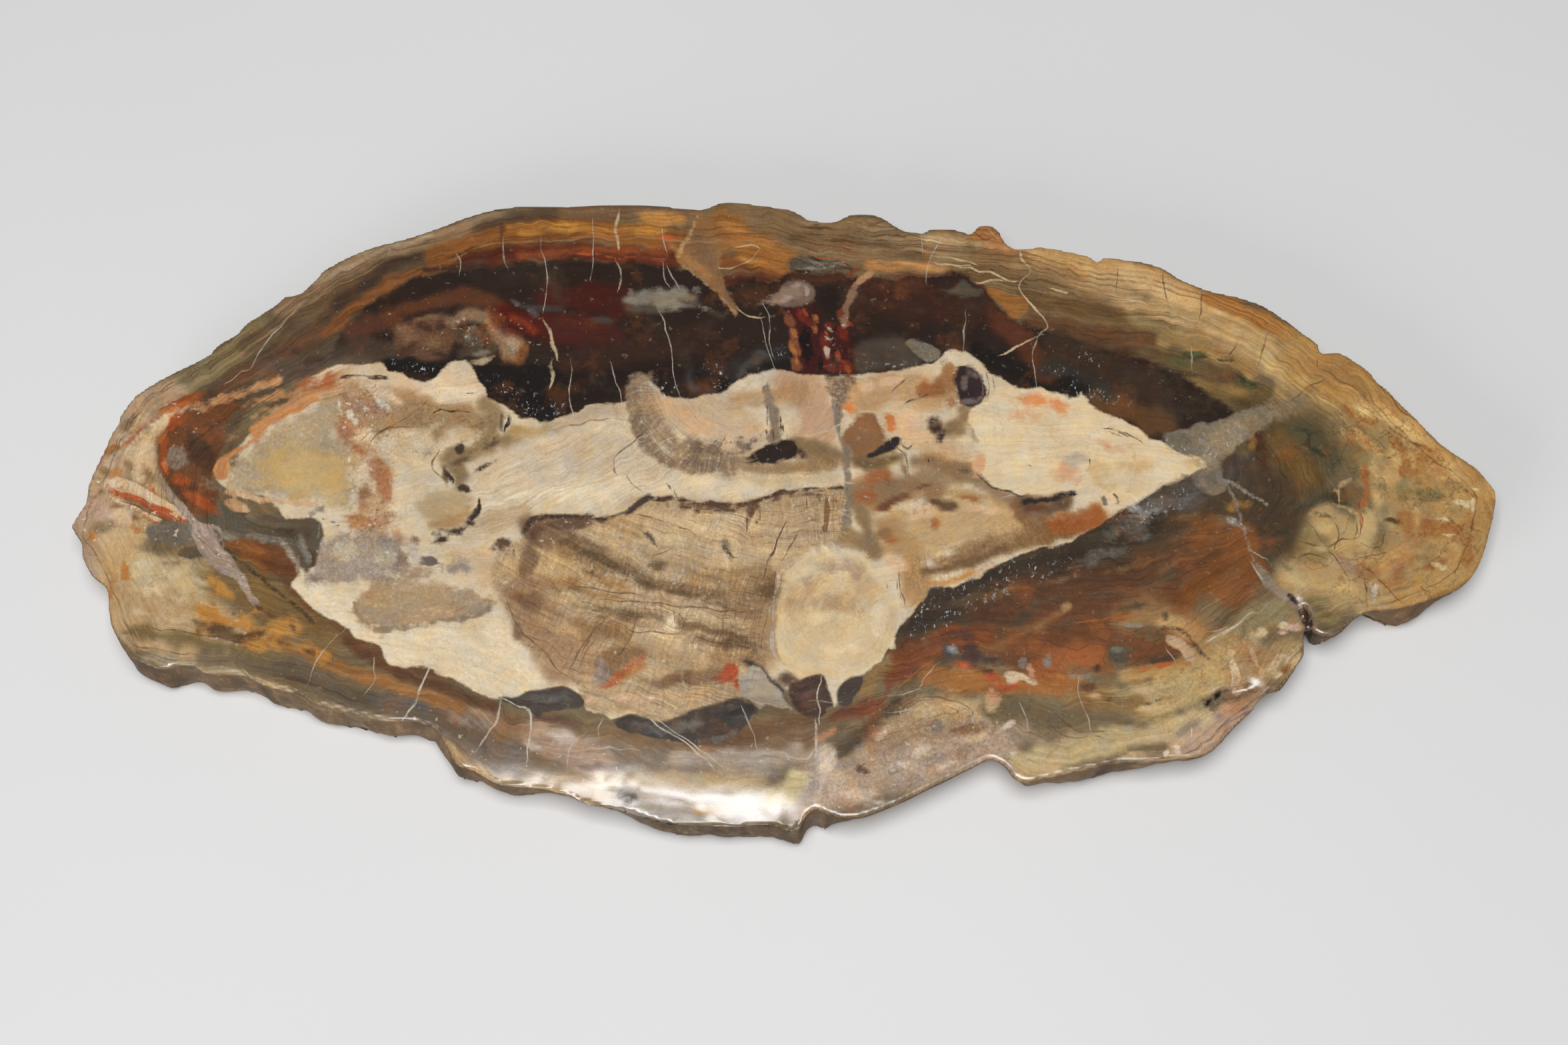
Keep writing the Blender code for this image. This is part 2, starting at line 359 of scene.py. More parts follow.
def oval(place, reach):
    """Vertices near an oval, and their distance from its middle, as a share of its radius."""
    x, y, long, wide, turn = place
    which = np.flatnonzero((abs(px - x) < reach) & (abs(py - y) < reach))
    turn = math.radians(turn)
    dx, dy = px[which] - x, py[which] - y
    along = (dx * math.cos(turn) + dy * math.sin(turn)) / (long / 2)
    across = (dy * math.cos(turn) - dx * math.sin(turn)) / (wide / 2)
    return which, np.hypot(along, across)


def spots(colour, soft, *row, rough=0.5, full=FAR, **strengths):
    """Small oval markings, all in one colour."""
    deep = np.full(count, -FAR * 3)
    for place in ovals_of(row):
        which, share = oval(place, place[2] / 2 + 24)
        deep[which] = np.maximum(deep[which], (1 - share) * place[3] / 2 / soft)
    which = np.flatnonzero(deep > -FAR * 2)
    deep = deep[which] + rough * (ragged_big[which] + ragged_small[which])
    lay_coat(colour, which, deep, soft, full, strengths)


def clouds(name, colour, *row, much=0.9, rough=0.35):
    """Soft oval stains in a base coat."""
    for place in ovals_of(row):
        which, share = oval(place, place[2] * 0.8 + 10)
        uneven = rough * (ragged_big[which] + 0.7 * ragged_small[which])
        cover = (much * step_up(1.3 - share + uneven, 0, 0.75))[:, None]
        paint = base_paint[name]
        paint[which] = paint[which] * (1 - cover) + shade(colour) * cover


def texture(points, soft=10, width=None, **strengths):
    """The strength of some textures inside a patch or stroke."""
    which, deep = region(points, soft, width)
    set_grain(which, step_up(deep, -1, 1), strengths)


def glitter(much, points, soft=5, width=None):
    """Small pale glints inside a patch or stroke."""
    which, deep = region(points, soft, width)
    glint[which] = np.maximum(glint[which], much * step_up(deep, -1, 1))


LINES = 8                               # drawn lines that may cross at one place
TONES = ("#CFC3B0", "#D2BB94", "#A9875F", "#B8622C", "#5C402B", "#231A16", "#7C2A18")
WHITE, CREAMY, BEIGE, ORANGY, BROWN, BLACK, REDDISH = range(7)
line_data = np.zeros((LINES, count, 4))
line_data[:, :, 3] = FAR
line_used = np.zeros((LINES, count), bool)


def vein(tone, points, width=3.0, strength=1.0, taper=0.3):
    """A thin healed crack or drawn line; width in pixels where it is widest."""
    line = curve(points, False)
    which = near(line, 22)
    away, side, share, past, _ = gap(line, False, which)
    held = (away < 20) & (past < 12)
    which, away, side, share, past = (v[held] for v in (which, away, side, share, past))
    k = next(k for k in range(LINES) if not line_used[k, which].any())
    line_used[k, which] = True
    half = width / 2 * (0.55 + 0.45 * step_up(np.minimum(share, 1 - share), 0, taper))
    half = half * (1 + 0.35 * ragged_small[which])
    line_data[k, which, 0] = (tone + 0.5) / len(TONES)
    line_data[k, which, 1] = np.clip((14 - away) / 6, 0, 1) * np.clip(1 - past / 5, 0, 1)
    line_data[k, which, 2] = strength
    line_data[k, which, 3] = np.clip(side * away / half, -9, 9)


# ---------------------------------------------------------------- rind and dark zone

# Smoothed line of the bark, clockwise from the left tip
BARK_LINE = (
    (106, 790), (134, 720), (157, 672), (202, 594), (280, 549), (355, 501), (425, 445),
    (482, 408), (560, 370), (655, 342), (740, 314), (855, 308), (967, 306), (1050, 312),
    (1140, 307), (1239, 328), (1320, 335), (1400, 346), (1500, 355), (1565, 370),
    (1647, 390), (1747, 404), (1857, 445), (1933, 483), (1990, 525), (2055, 560),
    (2138, 641), (2217, 702), (2245, 750), (2231, 819), (2190, 888), (2095, 930),
    (2000, 950), (1956, 985), (1921, 1036), (1857, 1087), (1790, 1139), (1691, 1160),
    (1572, 1172), (1500, 1150), (1400, 1180), (1297, 1225), (1212, 1250), (1120, 1245),
    (1042, 1243), (955, 1225), (850, 1190), (735, 1172), (665, 1115), (600, 1086),
    (502, 1065), (400, 1032), (340, 1014), (250, 1006), (195, 985), (165, 935),
    (140, 870), (122, 835),
)
# Line along the middle of the heart
SPINE = (430,710, 270,-60, 300,-10, 300,50, 300,0, 200,10)
# The cream heart, clockwise from its left end
HEART = (445,862, -5,-62, -40,-55, -55,-10, -23,-30, 23,-25, 55,-50, 60,-55, 40,-25, 20,-2, 25,-5, 30,2,
    10,10, 15,7, 15,6, 20,6, 15,-6, 10,-8, 15,-15, 13,-7, 12,2, 12,20, 15,20, 9,20, 24,12, 15,10, 15,6,
    35,4, 15,-5, 18,-7, 27,-10, 20,-2, 20,-2, 15,-4, 5,-10, 15,-10, 8,-9, 7,-3, 8,5, 7,10, 7,10, 28,3,
    20,-1, 15,-5, 20,0, 12,-7, 9,-10, 14,-8, 15,-5, 29,-8, 27,4, 45,3, 58,-1, 31,-3, 25,-4, 9,-4, 26,-3,
    20,-4, 13,-5, 5,-8, 12,-3, 10,1, 12,-2, 6,10, 8,6, 9,7, 5,10, 13,8, 9,1, 13,8, 5,5, 20,5, 20,2, 25,5,
    15,0, 11,6, 7,-3, 7,-5, 4,8, 4,8, 9,8, 18,8, 20,9, 20,12, 20,12, 20,12, 17,4, 18,7, 15,6, 20,10, -10,8,
    -20,10, -20,8, -15,5, -7,10, -13,7, -15,8, -10,7, -12,0, -8,10, -15,13, -32,15, -26,15, -37,12, -30,6,
    -30,15, -15,7, -15,10, -15,8, -25,10, -15,5, -15,-3, -20,5, -2,15, -13,7, -5,8, -10,15, -7,10, -8,15,
    -2,16, -13,2, -5,12, -13,16, -15,10, -23,6, -12,7, -6,14, 2,11, -4,14, -5,-12, -8,-19, -6,-15, -7,-6,
    -16,6, -19,5, -15,16, -28,6, -40,1, -25,5, -25,8, -30,10, -20,8, -25,7, -10,-3, -10,-6, -15,-3, -20,4,
    -12,7, -13,-10, -27,-6, 7,-16, -20,-7, -15,-8, -20,-3, -30,2, -15,4, -15,7, -18,7, -12,-2, -15,-8,
    -15,-7, -15,-8, -15,-7, -25,-8, -10,-7, -10,-7, -15,0, -10,4, -15,-2, -15,-7, -7,-8, -1,-15, -12,-8,
    -15,-2, -13,-5, -7,-10, -10,-7, -15,-8, -25,-12, -13,-13, -12,-15, -13,-17)
DARK_ZONE = (495,552, 5,-32, 15,-25, 25,-20, 15,-20, 20,-15, 25,-13, 30,-10, 35,-8, 35,-5, 40,-4, 40,-3,
    50,-3, 40,0, 70,0, 55,4, 35,6, 30,12, 30,9, 40,-7, 30,6, 20,-12, 20,-4, 54,2, 25,4, 31,0, 35,2, 55,-2,
    35,-5, 25,13, 20,14, 20,26, 30,18, 50,20, 60,20, 60,15, 60,21, 40,29, 50,35, -20,40, -50,30, -80,-10,
    -200,-40, -300,0, -300,40, -200,-40, -140,-60)


def lay_rind():
    """The olive and gold rind, layer by layer, clockwise from the left."""
    ground("rind", OLIVE, streaks=0.75, bands=0.55, rays=0.15, speckle=0.3, stains=0.5, threads=0.25,
        dark_flecks=0.2, pale_flecks=0.1)

    def layer(colour, points, width, soft=8, much=1.0):
        wash("rind", colour, points, soft, width, much)

    # upper left: grey-olive under a pale crust, then brown with dark growth lines
    layer("#54422F", (240,650, 260,-195, 100,-47, 120,-23), 100, 16)
    layer("#857858", (215,625, 55,-45, 60,-35, 100,-85), 44, 9)
    layer("#6A563D", (420,490, 120,-78, 200,-67), 44, 8)
    layer("#46362A", (500,462, 80,-57, 40,-20, 60,-15, 50,-18), 15, 5)
    layer("#6C4B34", (330,580, 150,-80), 18, 6)
    layer("#93795C", (425,462, 45,-32, 95,-48, 180,-54), 25, 5)
    layer("#B5A284", (470,424, 90,-46, 85,-26), 8, 3, 0.8)
    layer("#80522D", (490,500, 80,-66, 90,-33, 54,-3), 15, 4)
    layer("#5D5042", (400,565, 140,-45), 44, 11)
    clouds("rind", "#4A3A2E", 470,540,40,12,-10, -40,-12,50,12,-20)
    # top: thin brown crust, gold and orange layers, red-brown foot
    layer("#5F4B38", (720,346, 100,-22, 60,-2), 26, 5)
    layer("#7A5E44", (850,316, 180,6), 22, 5)
    layer("#8C5A2C", (650,386, 100,-29, 110,-12, 160,17), 34, 5)
    layer("#B37A34", (760,342, 100,-2, 40,10, 40,-8, 50,0), 15, 5, 0.9)
    layer("#BE8A4A", (965,328, 55,2), 20, 6)
    layer("#5E2E1C", (700,394, 120,-17, 190,15), 26, 5)
    layer("#99512A", (780,384, 120,-8, 100,4), 9, 4, 0.85)
    layer("#38231A", (640,404, 200,-10, 60,4), 8, 4)
    clouds("rind", "#5A3A22", 752,348,10,30,10, -52,30,50,7,-12, 65,-12,60,7,-3, 90,-4,90,8,0)
    clouds("rind", "#C58C3E", 846,342,40,20,0, 119,8,40,10,0, -175,0,40,10,-5)
    # round the tan vein: gold to deep orange
    layer("#7B4A24", (1088,390, 52,12), 22, 6)
    layer("#5A2C1C", (1080,418, 50,2, 50,-8), 16, 5)
    # top right: grey-brown growth lines over an orange foot
    layer("#8A7050", (1060,318, 80,10, 80,20, 240,37, 80,20), 62, 8)
    layer("#6B553A", (1190,356, 70,-4, 130,36), 12, 5, 0.8)
    layer("#A08460", (1200,336, 70,-4, 130,20, 40,-2), 14, 6, 0.8)
    layer("#BC9E72", (1395,358, 35,0, 35,8), 12, 5)
    layer("#B07C48", (1462,350, 23,-4, 17,12), 18, 5)
    layer("#BC8D61", (1480,364, 65,21), 13, 5)
    layer("#C08E56", (1305,398, 125,5), 13, 4)
    layer("#7F6645", (1450,400, 250,88), 60, 12)
    layer("#A5835A", (1530,392, 70,19, 190,83), 28, 7)
    layer("#6C5332", (1530,450, 110,18, 120,32), 20, 7)
    layer("#6A4A2E", (1550,482, 50,14, 130,16), 30, 9)
    layer("#948058", (1700,478, 150,60), 20, 7)
    layer("#CDA46C", (1555,376, 145,35, 100,41), 42, 7)
    layer("#DCB882", (1690,408, 100,46), 32, 8)
    layer("#C6A777", (1640,412, 50,22), 24, 7, 0.8)
    layer("#B79B6F", (1670,438, 170,70, 100,72), 28, 9)
    layer("#D0B07A", (1812,468, 78,44, 40,40, 20,38), 36, 9)
    layer("#B27B40", (1812,448, 38,12, 130,70), 24, 6)
    layer("#4A3626", (1590,522, 130,38, 50,30, 60,18), 48, 12)
    layer("#6A5838", (1752,545, 148,63), 54, 10)
    layer("#8E7648", (1800,574, 90,26), 20, 7)
    layer("#A98A58", (1742,508, 48,8, 90,40), 20, 6)
    layer("#46382A", (1740,554, 100,18), 8, 4, 0.8)
    # right end: gold tan, its middle olive and smoky
    layer("#B48E56", (1990,545, 70,65, 110,140, 0,80, -60,60), 150, 20)
    layer("#A9824E", (1960,548, 80,32, 40,30), 34, 9)
    layer("#C9A066", (2050,612, 130,88, 45,40), 34, 9)
    layer("#B9965E", (2170,760, 40,30, -20,60, -60,30), 60, 14)
    layer("#A98C5C", (1930,590, 50,30, 90,30), 40, 10)
    layer("#7D6B4A", (1960,636, 100,64), 60, 12)
    layer("#9A845A", (2030,650, 35,20, 15,30), 34, 9)
    layer("#AD9264", (2070,710, 40,60, 0,80), 66, 14)
    layer("#B79B6C", (1940,860, 60,15, 60,30), 66, 12)
    layer("#5A4A2E", (1880,640, 45,30, 15,40, -40,50, -20,40), 90, 14)
    layer("#6E552C", (1925,660, 35,45), 44, 10)
    layer("#4A2F1E", (1888,655, 7,50), 20, 7)
    layer("#585039", (1955,645, 40,45), 40, 9)
    layer("#48412F", (1905,760, 35,5, 70,-20), 26, 7)
    layer("#9A8456", (1945,795, 30,35), 40, 8)
    layer("#B79C6C", (1985,780, 30,20, 20,25), 50, 8)
    clouds("rind", "#CBB07C", 2052,790,54,26,85, 16,-50,70,26,80, -118,57,20,18,0, 40,-2,36,20,20,
        25,20,30,20,0, 10,30,60,26,10, -40,-23,22,14,0, -40,46,50,24,10, 65,17,60,16,0, 70,-25,40,30,20,
        -40,-80,16,30,0)
    clouds("rind", "#D6B679", 2100,685,44,36,40, 68,20,60,34,40, -53,-55,50,16,35, -30,-18,50,12,30,
        39,146,14,30,0, -79,-166,40,12,25, -60,-12,50,14,30, -30,-25,40,20,45, -55,-35,50,20,40)
    clouds("rind", "#A27440", 2022,614,40,12,35, 33,18,40,10,25, 40,30,50,10,45, 45,10,40,10,20,
        -20,36,46,18,0, 13,-23,24,20,60, -23,95,34,26,70, -50,-210,40,8,40, 90,230,60,20,0, 40,6,50,14,0)
    clouds("rind", "#8E7F54", 2130,738,50,12,5, -90,-48,20,26,30, 60,40,14,30,20, -125,170,40,12,0,
        15,30,40,14,0, -65,-80,30,10,30, 225,-105,34,10,0)
    clouds("rind", "#A5876A", 2022,848,40,22,35, -72,92,40,20,0)
    layer("#8A6236", (2060,918, 50,-1, 95,-43), 9, 4, 0.8)
    # lower right: brown glass, rust and gold
    layer("#4C3D2B", (1380,940, 220,-90, 200,-90, 80,20), 150, 20)
    layer("#3A2F24", (1360,930, 140,-55, 80,-25, 140,-70), 46, 8)
    layer("#563924", (1480,925, 80,-33, 160,-24, 80,-28), 60, 16)
    layer("#664028", (1560,930, 160,-37, 60,2), 40, 12)
    layer("#75481F", (1770,905, 60,-55), 36, 12)
    layer("#63432A", (1720,850, 60,-20, 30,-30), 40, 14)
    layer("#7D5029", (1810,800, 40,10, 20,40, -20,32), 54, 12)
    layer("#7A4622", (1345,1000, 75,-38, 60,0), 44, 9)
    layer("#8B7048", (1300,1035, 25,-45), 22, 7)
    layer("#6F4228", (1250,1075, 70,-20), 20, 7)
    layer("#A06A34", (1398,1012, 42,10, 120,4, 52,-6), 38, 8)
    layer("#6B4326", (1530,975, 70,-20, 80,5, 110,25), 66, 9)
    layer("#9A5A2E", (1562,1000, 38,-15, 40,0), 40, 9)
    layer("#A07D50", (1690,925, 40,-9, 115,52), 40, 14, 0.75)
    layer("#B89463", (1755,930, 65,40), 26, 8)
    layer("#8E6A42", (1468,972, 32,-6, 56,-24, 44,-32), 10, 6, 0.8)
    layer("#B4925E", (1690,1018, 150,-28), 26, 7)
    layer("#BFA674", (1660,1066, 130,-36, 70,-55), 56, 10)
    layer("#93784C", (1612,1052, 88,8), 36, 8)
    layer("#B59A6A", (1800,990, 100,-65), 34, 9)
    layer("#938460", (1870,940, 35,-20, 30,-5), 40, 9)
    layer("#A58F68", (1860,1000, 40,0, 45,-15), 50, 9)
    layer("#A58E6C", (1300,1110, 120,-40, 100,20), 60, 12)
    layer("#BBA076", (1390,1060, 70,10), 34, 9)
    layer("#B29B84", (1215,1190, 285,-80), 76, 12)
    layer("#C4B2A0", (1200,1130, 40,20, -5,40), 50, 12, 0.8)
    layer("#75664A", (1500,1062, 60,6, 50,14, 70,4), 44, 9)
    layer("#8F7A62", (1520,1105, 60,7, 60,-8), 16, 7, 0.8)
    layer("#564934", (1262,1128, 78,-68), 24, 8, 0.9)
    layer("#C1AE82", (1530,1150, 140,-40), 44, 9)
    layer("#B79E76", (1500,1150, 30,10, 70,5, 180,-30, 70,-40), 20, 7)
    layer("#C9B284", (1690,1112, 140,-42), 34, 9)
    layer("#BBA08A", (1770,1120, 40,-15, 70,-45), 34, 9)
    layer("#B9987C", (1835,1068, 50,-28), 24, 7, 0.9)
    clouds("rind", "#CDB48A", 1720,1062,60,10,-12, 5,-27,40,14,-10, -85,10,20,12,0, -70,105,60,26,-12,
        170,-42,80,18,-8, -300,-46,60,20,20, 20,50,50,10,-12, 30,-60,20,24,0, 360,-77,40,16,-30,
        35,-20,24,14,0, 55,35,24,34,20, -240,144,50,10,0)
    clouds("rind", "#9C8A7A", 1330,1120,60,18,-25, 70,20,50,18,-20, -50,40,70,16,-15, 100,-55,40,12,-20,
        -180,25,40,26,0, 520,-60,40,14,-30, -275,65,24,30,0, -85,-55,60,8,-12)
    clouds("rind", "#D3C2B0", 1290,1190,60,20,-10, -50,-50,40,30,-60, 140,-15,40,14,-25, -30,25,50,12,-20,
        -25,-50,34,12,-30, 95,50,34,10,-20, -100,55,50,9,-12)
    clouds("rind", "#86572F", 1395,965,30,34,20, 95,70,34,12,0, 160,-30,34,12,10, 30,-80,34,8,-25,
        245,80,30,14,-30, -155,-90,40,20,10)
    clouds("rind", "#5E4A34", 1450,900,60,14,-20, 110,5,70,12,-20, 90,-10,60,10,-10, -50,40,50,12,-12,
        145,-65,70,14,-20, -45,40,50,9,-10, 80,-110,60,16,-25, -120,348,34,12,-10)
    clouds("rind", "#7A5A38", 1500,890,60,12,-22, 90,-20,50,9,-12, 100,-20,60,12,-16, 70,0,40,12,-30,
        70,-70,40,14,10, -50,-5,50,12,-12, -90,370,50,8,-8)
    # bottom: brown foot of the heart, grey streaks, cream rim, and a painted highlight on the rim
    layer("#7D6347", (700,1090, 300,40, 200,-30), 60, 10)
    layer("#857564", (850,1125, 200,30, 100,-5), 44, 9)
    layer("#6E5134", (1030,1112, 60,-7, 120,-27), 22, 6)
    layer("#A2682F", (1082,340, 98,60), 50, 11, 0.85)
    clouds("rind", "#B98343", 1100,342,50,14,10, 40,20,50,14,20, -20,28,50,12,10, much=0.8)
    layer("#6B472B", (425,855, 70,75, 95,60, 60,15), 34, 8, 0.8)
    layer("#B29884", (795,1092, 105,58), 44, 10, 0.9)
    layer("#AEA294", (1010,1136, 140,2, 40,-13), 26, 8, 0.9)
    layer("#B8A890", (960,1160, 80,8, 100,-8), 22, 8, 0.7)
    clouds("rind", "#C4B4A4", 720,1075,50,14,20, 80,45,44,12,30, 45,-15,40,20,20)
    clouds("rind", "#6A5140", 855,1085,60,14,10, -95,0,50,12,20, 140,65,60,10,0, -80,-75,60,9,4)
    layer("#BBA57C", (900,1175, 80,5, 160,-5), 26, 8)
    # painted highlight: the cream rim greyed to neutral where the overhead light's reflection falls, so the
    # highlight reads white
    layer("#AEA498", (880,1195, 180,17, 90,-4, 50,-18), 46, 9)
    layer("#C9BA8E", (1160,1195, 25,-5, 10,-20), 34, 7)
    layer("#AF9673", (720,1160, 130,18, 50,17), 32, 8)
    layer("#77685A", (600,1060, 60,25, 60,40, 50,15), 52, 9)
    layer("#8D7055", (690,1075, 90,15), 26, 8, 0.7)
    layer("#615340", (380,990, 169,55, 77,21, 64,29, 30,25), 26, 6)
    layer(OCHRE, (400,955, 111,46, 115,39, 64,15), 22, 5)
    layer("#5F3F25", (440,885, 40,45, 90,65, 170,67), 15, 4)
    layer("#AE9570", (340,1002, 87,36, 46,22, 177,38), 14, 4)
    layer("#B69C74", (655,1110, 35,30, 50,25), 15, 5)
    # lower left: tan fibres, orange blotches, olive foot
    layer("#BDA077", (150,850, 100,80, 60,20), 120, 16)
    layer("#CBB489", (205,835, 40,25, 55,12), 46, 10)
    layer("#7A6038", (320,850, 160,110), 66, 12)
    layer("#7B6A45", (205,945, 195,40), 20, 8)
    layer("#A3957A", (215,985, 125,13), 16, 7)
    clouds("rind", "#BE8A45", 338,885,50,20,40, -28,27,44,18,10, 55,23,60,20,-8, 60,5,56,30,15,
        25,32,60,16,20, -50,-4,50,12,5, much=0.95)
    clouds("rind", "#6A5330", 330,950,60,22,10, -30,-15,34,14,20)
    layer("#5D5546", (300,790, 130,10, 50,30), 50, 9)
    # left end: pale crust with cream swirls and red streaks
    layer(CRUST, (125,835, -5,-45, 60,-125, 70,-60), 74, 9)
    layer("#C9AC80", (170,850, 10,-35, 25,-25), 50, 10)
    layer("#C3A68F", (125,770, 30,-5, 35,10), 30, 8)
    layer("#D2B48E", (246,632, -18,20, -6,26, 4,24), 32, 6)
    layer("#C9AE84", (205,690, 10,22, 25,23), 26, 6, 0.9)
    clouds("rind", "#D8C2A0", 215,680,50,22,-60, -40,95,40,14,20, 15,-110,60,12,-40, 50,180,60,22,5)
    clouds("rind", "#8E7656", 160,708,22,16,0, 40,-8,30,14,40, 25,15,40,14,40, -75,75,24,22,0,
        40,-150,30,12,-50, 15,140,22,12,30)
    clouds("rind", "#A5563A", 155,690,26,6,-50, 45,-35,50,7,-42, 35,-23,40,7,-42)


def lay_left_crust():
    """Ragged cream, orange and olive stains of the left end."""
    def layer(colour, points, width, soft=8, much=1.0):
        wash("rind", colour, points, soft, width, much)

    layer("#5F4D39", (370,520, 60,-38), 20, 7, 0.9)
    layer("#6F5F49", (300,985, 100,15), 20, 8, 0.8)
    layer("#C9B48C", (215,860, 75,-15), 50, 14, 0.7)
    layer("#E2C9A2", (250,632, -22,16, -18,50, 4,18), 13, 4, 0.9)
    layer("#DCC6A4", (160,728, 36,12, 86,42), 14, 4, 0.9)
    layer("#B04A22", (164,736, 32,12, 58,30), 6, 2.5, 0.9)
    clouds("rind", "#E0CDAA", 186,678,30,9,-30, -21,16,12,30,10, 15,76,40,8,20, 25,-115,26,6,-40,
        -25,0,26,8,-40, much=0.85, rough=0.9)
    clouds("rind", "#C0803F", 175,672,22,9,-20, -3,35,26,16,0, 68,-85,40,7,-35, -75,258,14,40,10,
        40,-85,24,10,20, -65,15,10,20,0, 48,40,12,30,0, rough=0.9)
    clouds("rind", "#B04A22", 200,645,40,5,-38, 15,130,30,6,25, 47,-135,8,30,20, much=0.8, rough=1.0)
    clouds("rind", "#7C6340", 222,735,30,7,25, -62,20,30,9,20, -10,-15,8,20,0, 105,105,60,6,8,
        -5,115,80,6,10, much=0.7, rough=1.0)
    clouds("rind", "#D6C6A2", 250,866,70,10,5, -15,24,60,8,8, -20,30,50,8,15, 55,-20,60,8,10,
        -40,-55,50,8,0, 70,30,40,8,20, -85,-245,60,8,-40, -25,-25,30,8,-30, much=0.7, rough=0.9)
    clouds("rind", "#BC8C50", 330,930,60,12,10, 55,15,60,12,10, 15,15,60,9,10, -100,-15,30,9,0, much=0.75,
        rough=1.1)
    clouds("rind", "#BF9064", 400,598,90,10,-18, 40,-8,70,8,-15, -55,32,60,8,-30, 35,-10,60,6,-20,
        -70,43,30,7,-40, rough=0.9)
    clouds("rind", "#5B4632", 410,606,80,4,-20, -40,6,40,6,-30, -20,308,40,5,30, 30,45,50,5,5, rough=0.9)


def lay_dark_zone():
    """The glassy dark zone between rind and heart."""
    ground("dark", "#2C1E17", DARK_ZONE, 4.0, streaks=0.35, bands=0.2, rays=0.05, speckle=0.15, stains=0.5,
        threads=0.1, dark_flecks=0.0, pale_flecks=0.12)

    def stain(colour, points, width=None, soft=9, much=1.0):
        wash("dark", colour, points, soft, width, much)

    # upper left: grey-brown tail, black crescent, speckled tan inclusion with an orange brim
    stain("#4C3D32", (495,545, 45,-23, 50,13), 44, 10)
    stain("#6B5B4C", (498,548, 52,-10), 20, 8, 0.8)
    stain("#5A3827", (530,495, 70,-17), 30, 9)
    stain("#30251D", (720,420, 110,-8), 30, 9)
    stain("#5E3822", (588,482, 22,-18, 90,-19, 48,13), 24, 6)
    stain("#6A4C38", (590,520, 10,-32, 75,-16, 9,28, -12,36, -42,4), None, 6)
    clouds("dark", "#80634A", 610,500,36,26,30, 40,15,34,20,0, -10,-35,40,10,-10)
    clouds("dark", "#493227", 634,492,22,14,0, 30,39,40,10,10, -58,-5,22,12,0, 54,-38,14,16,0,
        -42,28,12,12,0)
    stain("#8E735C", (674,480, 26,-8, 28,8), 18, 5)
    stain("#524637", (682,500, 18,-10, 35,7, 12,28, -32,18, -27,-9), None, 5)
    clouds("dark", "#8E8270", 703,505,12,10,0, 19,23,30,10,-20, -10,-36,14,8,0)
    clouds("dark", "#29221B", 690,521,18,14,0, 40,-9,14,24,20, -26,24,24,8,0)
    stain("#93765A", (724,486, 26,-5, 38,35, -2,21, -21,9), None, 5)
    clouds("dark", "#AE977F", 748,498,34,16,30, 18,16,26,14,40)
    clouds("dark", "#7A4A25", 784,532,30,14,-60, -20,13,26,10,0)
    # reds in the middle
    stain("#54190F", (762,478, 143,29), 46, 10, 0.95)
    stain("#4B1911", (826,446, 84,0, 15,14), 40, 10, 0.9)
    clouds("dark", "#47464A", 1075,570,30,50,10, -35,5,20,44,0, much=0.75)
    clouds("dark", "#5D6165", 780,456,30,9,25, 17,10,24,10,30, much=0.9)
    stain("#94421F", (772,478, 20,8, 10,12), 12, 6, 0.8)
    stain("#4A2018", (830,490, 95,18), 36, 12)
    stain("#38231A", (840,545, 160,-23, 60,-22), 40, 14)
    stain("#20150F", (800,595, 200,-33), 46, 10)
    # the smoky lens with a paler, creamy core
    stain("#544D43", (935,455, 10,-13, 55,-12, 42,10, 10,15, -7,9, -35,0, -55,8), None, 5)
    clouds("dark", "#857660", 1008,448,76,15,-6, 26,-3,26,12,20, -59,-1,30,10,-15)
    clouds("dark", "#A0927A", 1000,452,30,6,-8)
    stain("#453D34", (1048,460, 34,17), 8, 4)
    clouds("dark", "#46413B", 903,481,36,10,3, -83,-19,60,10,5)
    # black glass against the heart
    stain("#191311", (712,548, 28,-5, 50,5, 45,4, 15,38, -8,42, -52,8, -40,-20, -25,-30), None, 5)
    stain(COAL, (585,548, 80,5), 24, 4)
    stain(COAL, (1055,560, 25,10, 15,20), 30, 6)
    stain("#2C2724", (1100,555, 65,-25), 34, 7)
    clouds("dark", "#4E4943", 1130,545,50,14,-25, 15,-15,30,10,-10, -33,30,20,10,-40)
    stain(COAL, (1150,548, 25,0, 10,-13), 14, 5)
    # right part: browns, grey smoke, black blobs
    stain("#3C2319", (1290,440, 170,20), 60, 12)
    stain("#4C4239", (1284,520, 26,-14, 35,0, 40,39, -55,7, -40,4), None, 6)
    stain(COAL, (1470,528, 90,42, 60,12, 120,73), 30, 6)
    stain("#56301E", (1495,480, 30,20, 50,60), 34, 8)
    stain("#3C2C20", (1580,520, 120,50, 40,30), 50, 12)
    stain("#5C4026", (1650,600, 95,40), 40, 10)
    stain("#33302C", (1570,555, 50,5, 40,25), 26, 8, 0.8)


# ---------------------------------------------------------------- the cream heart

CORE = (748,822, 27,-12, 22,-30, 63,-8, 45,5, 45,-15, 25,-17, 55,5, 60,6, 76,-15, 39,-8, 57,-2, 6,69,
    -53,26, -35,34, -30,45, -10,45, 10,50, -30,45, -60,13, -75,25, -35,-12, -45,1, -27,-12, -18,-35,
    -60,-40, -30,-50, -22,-40, -8,-35)


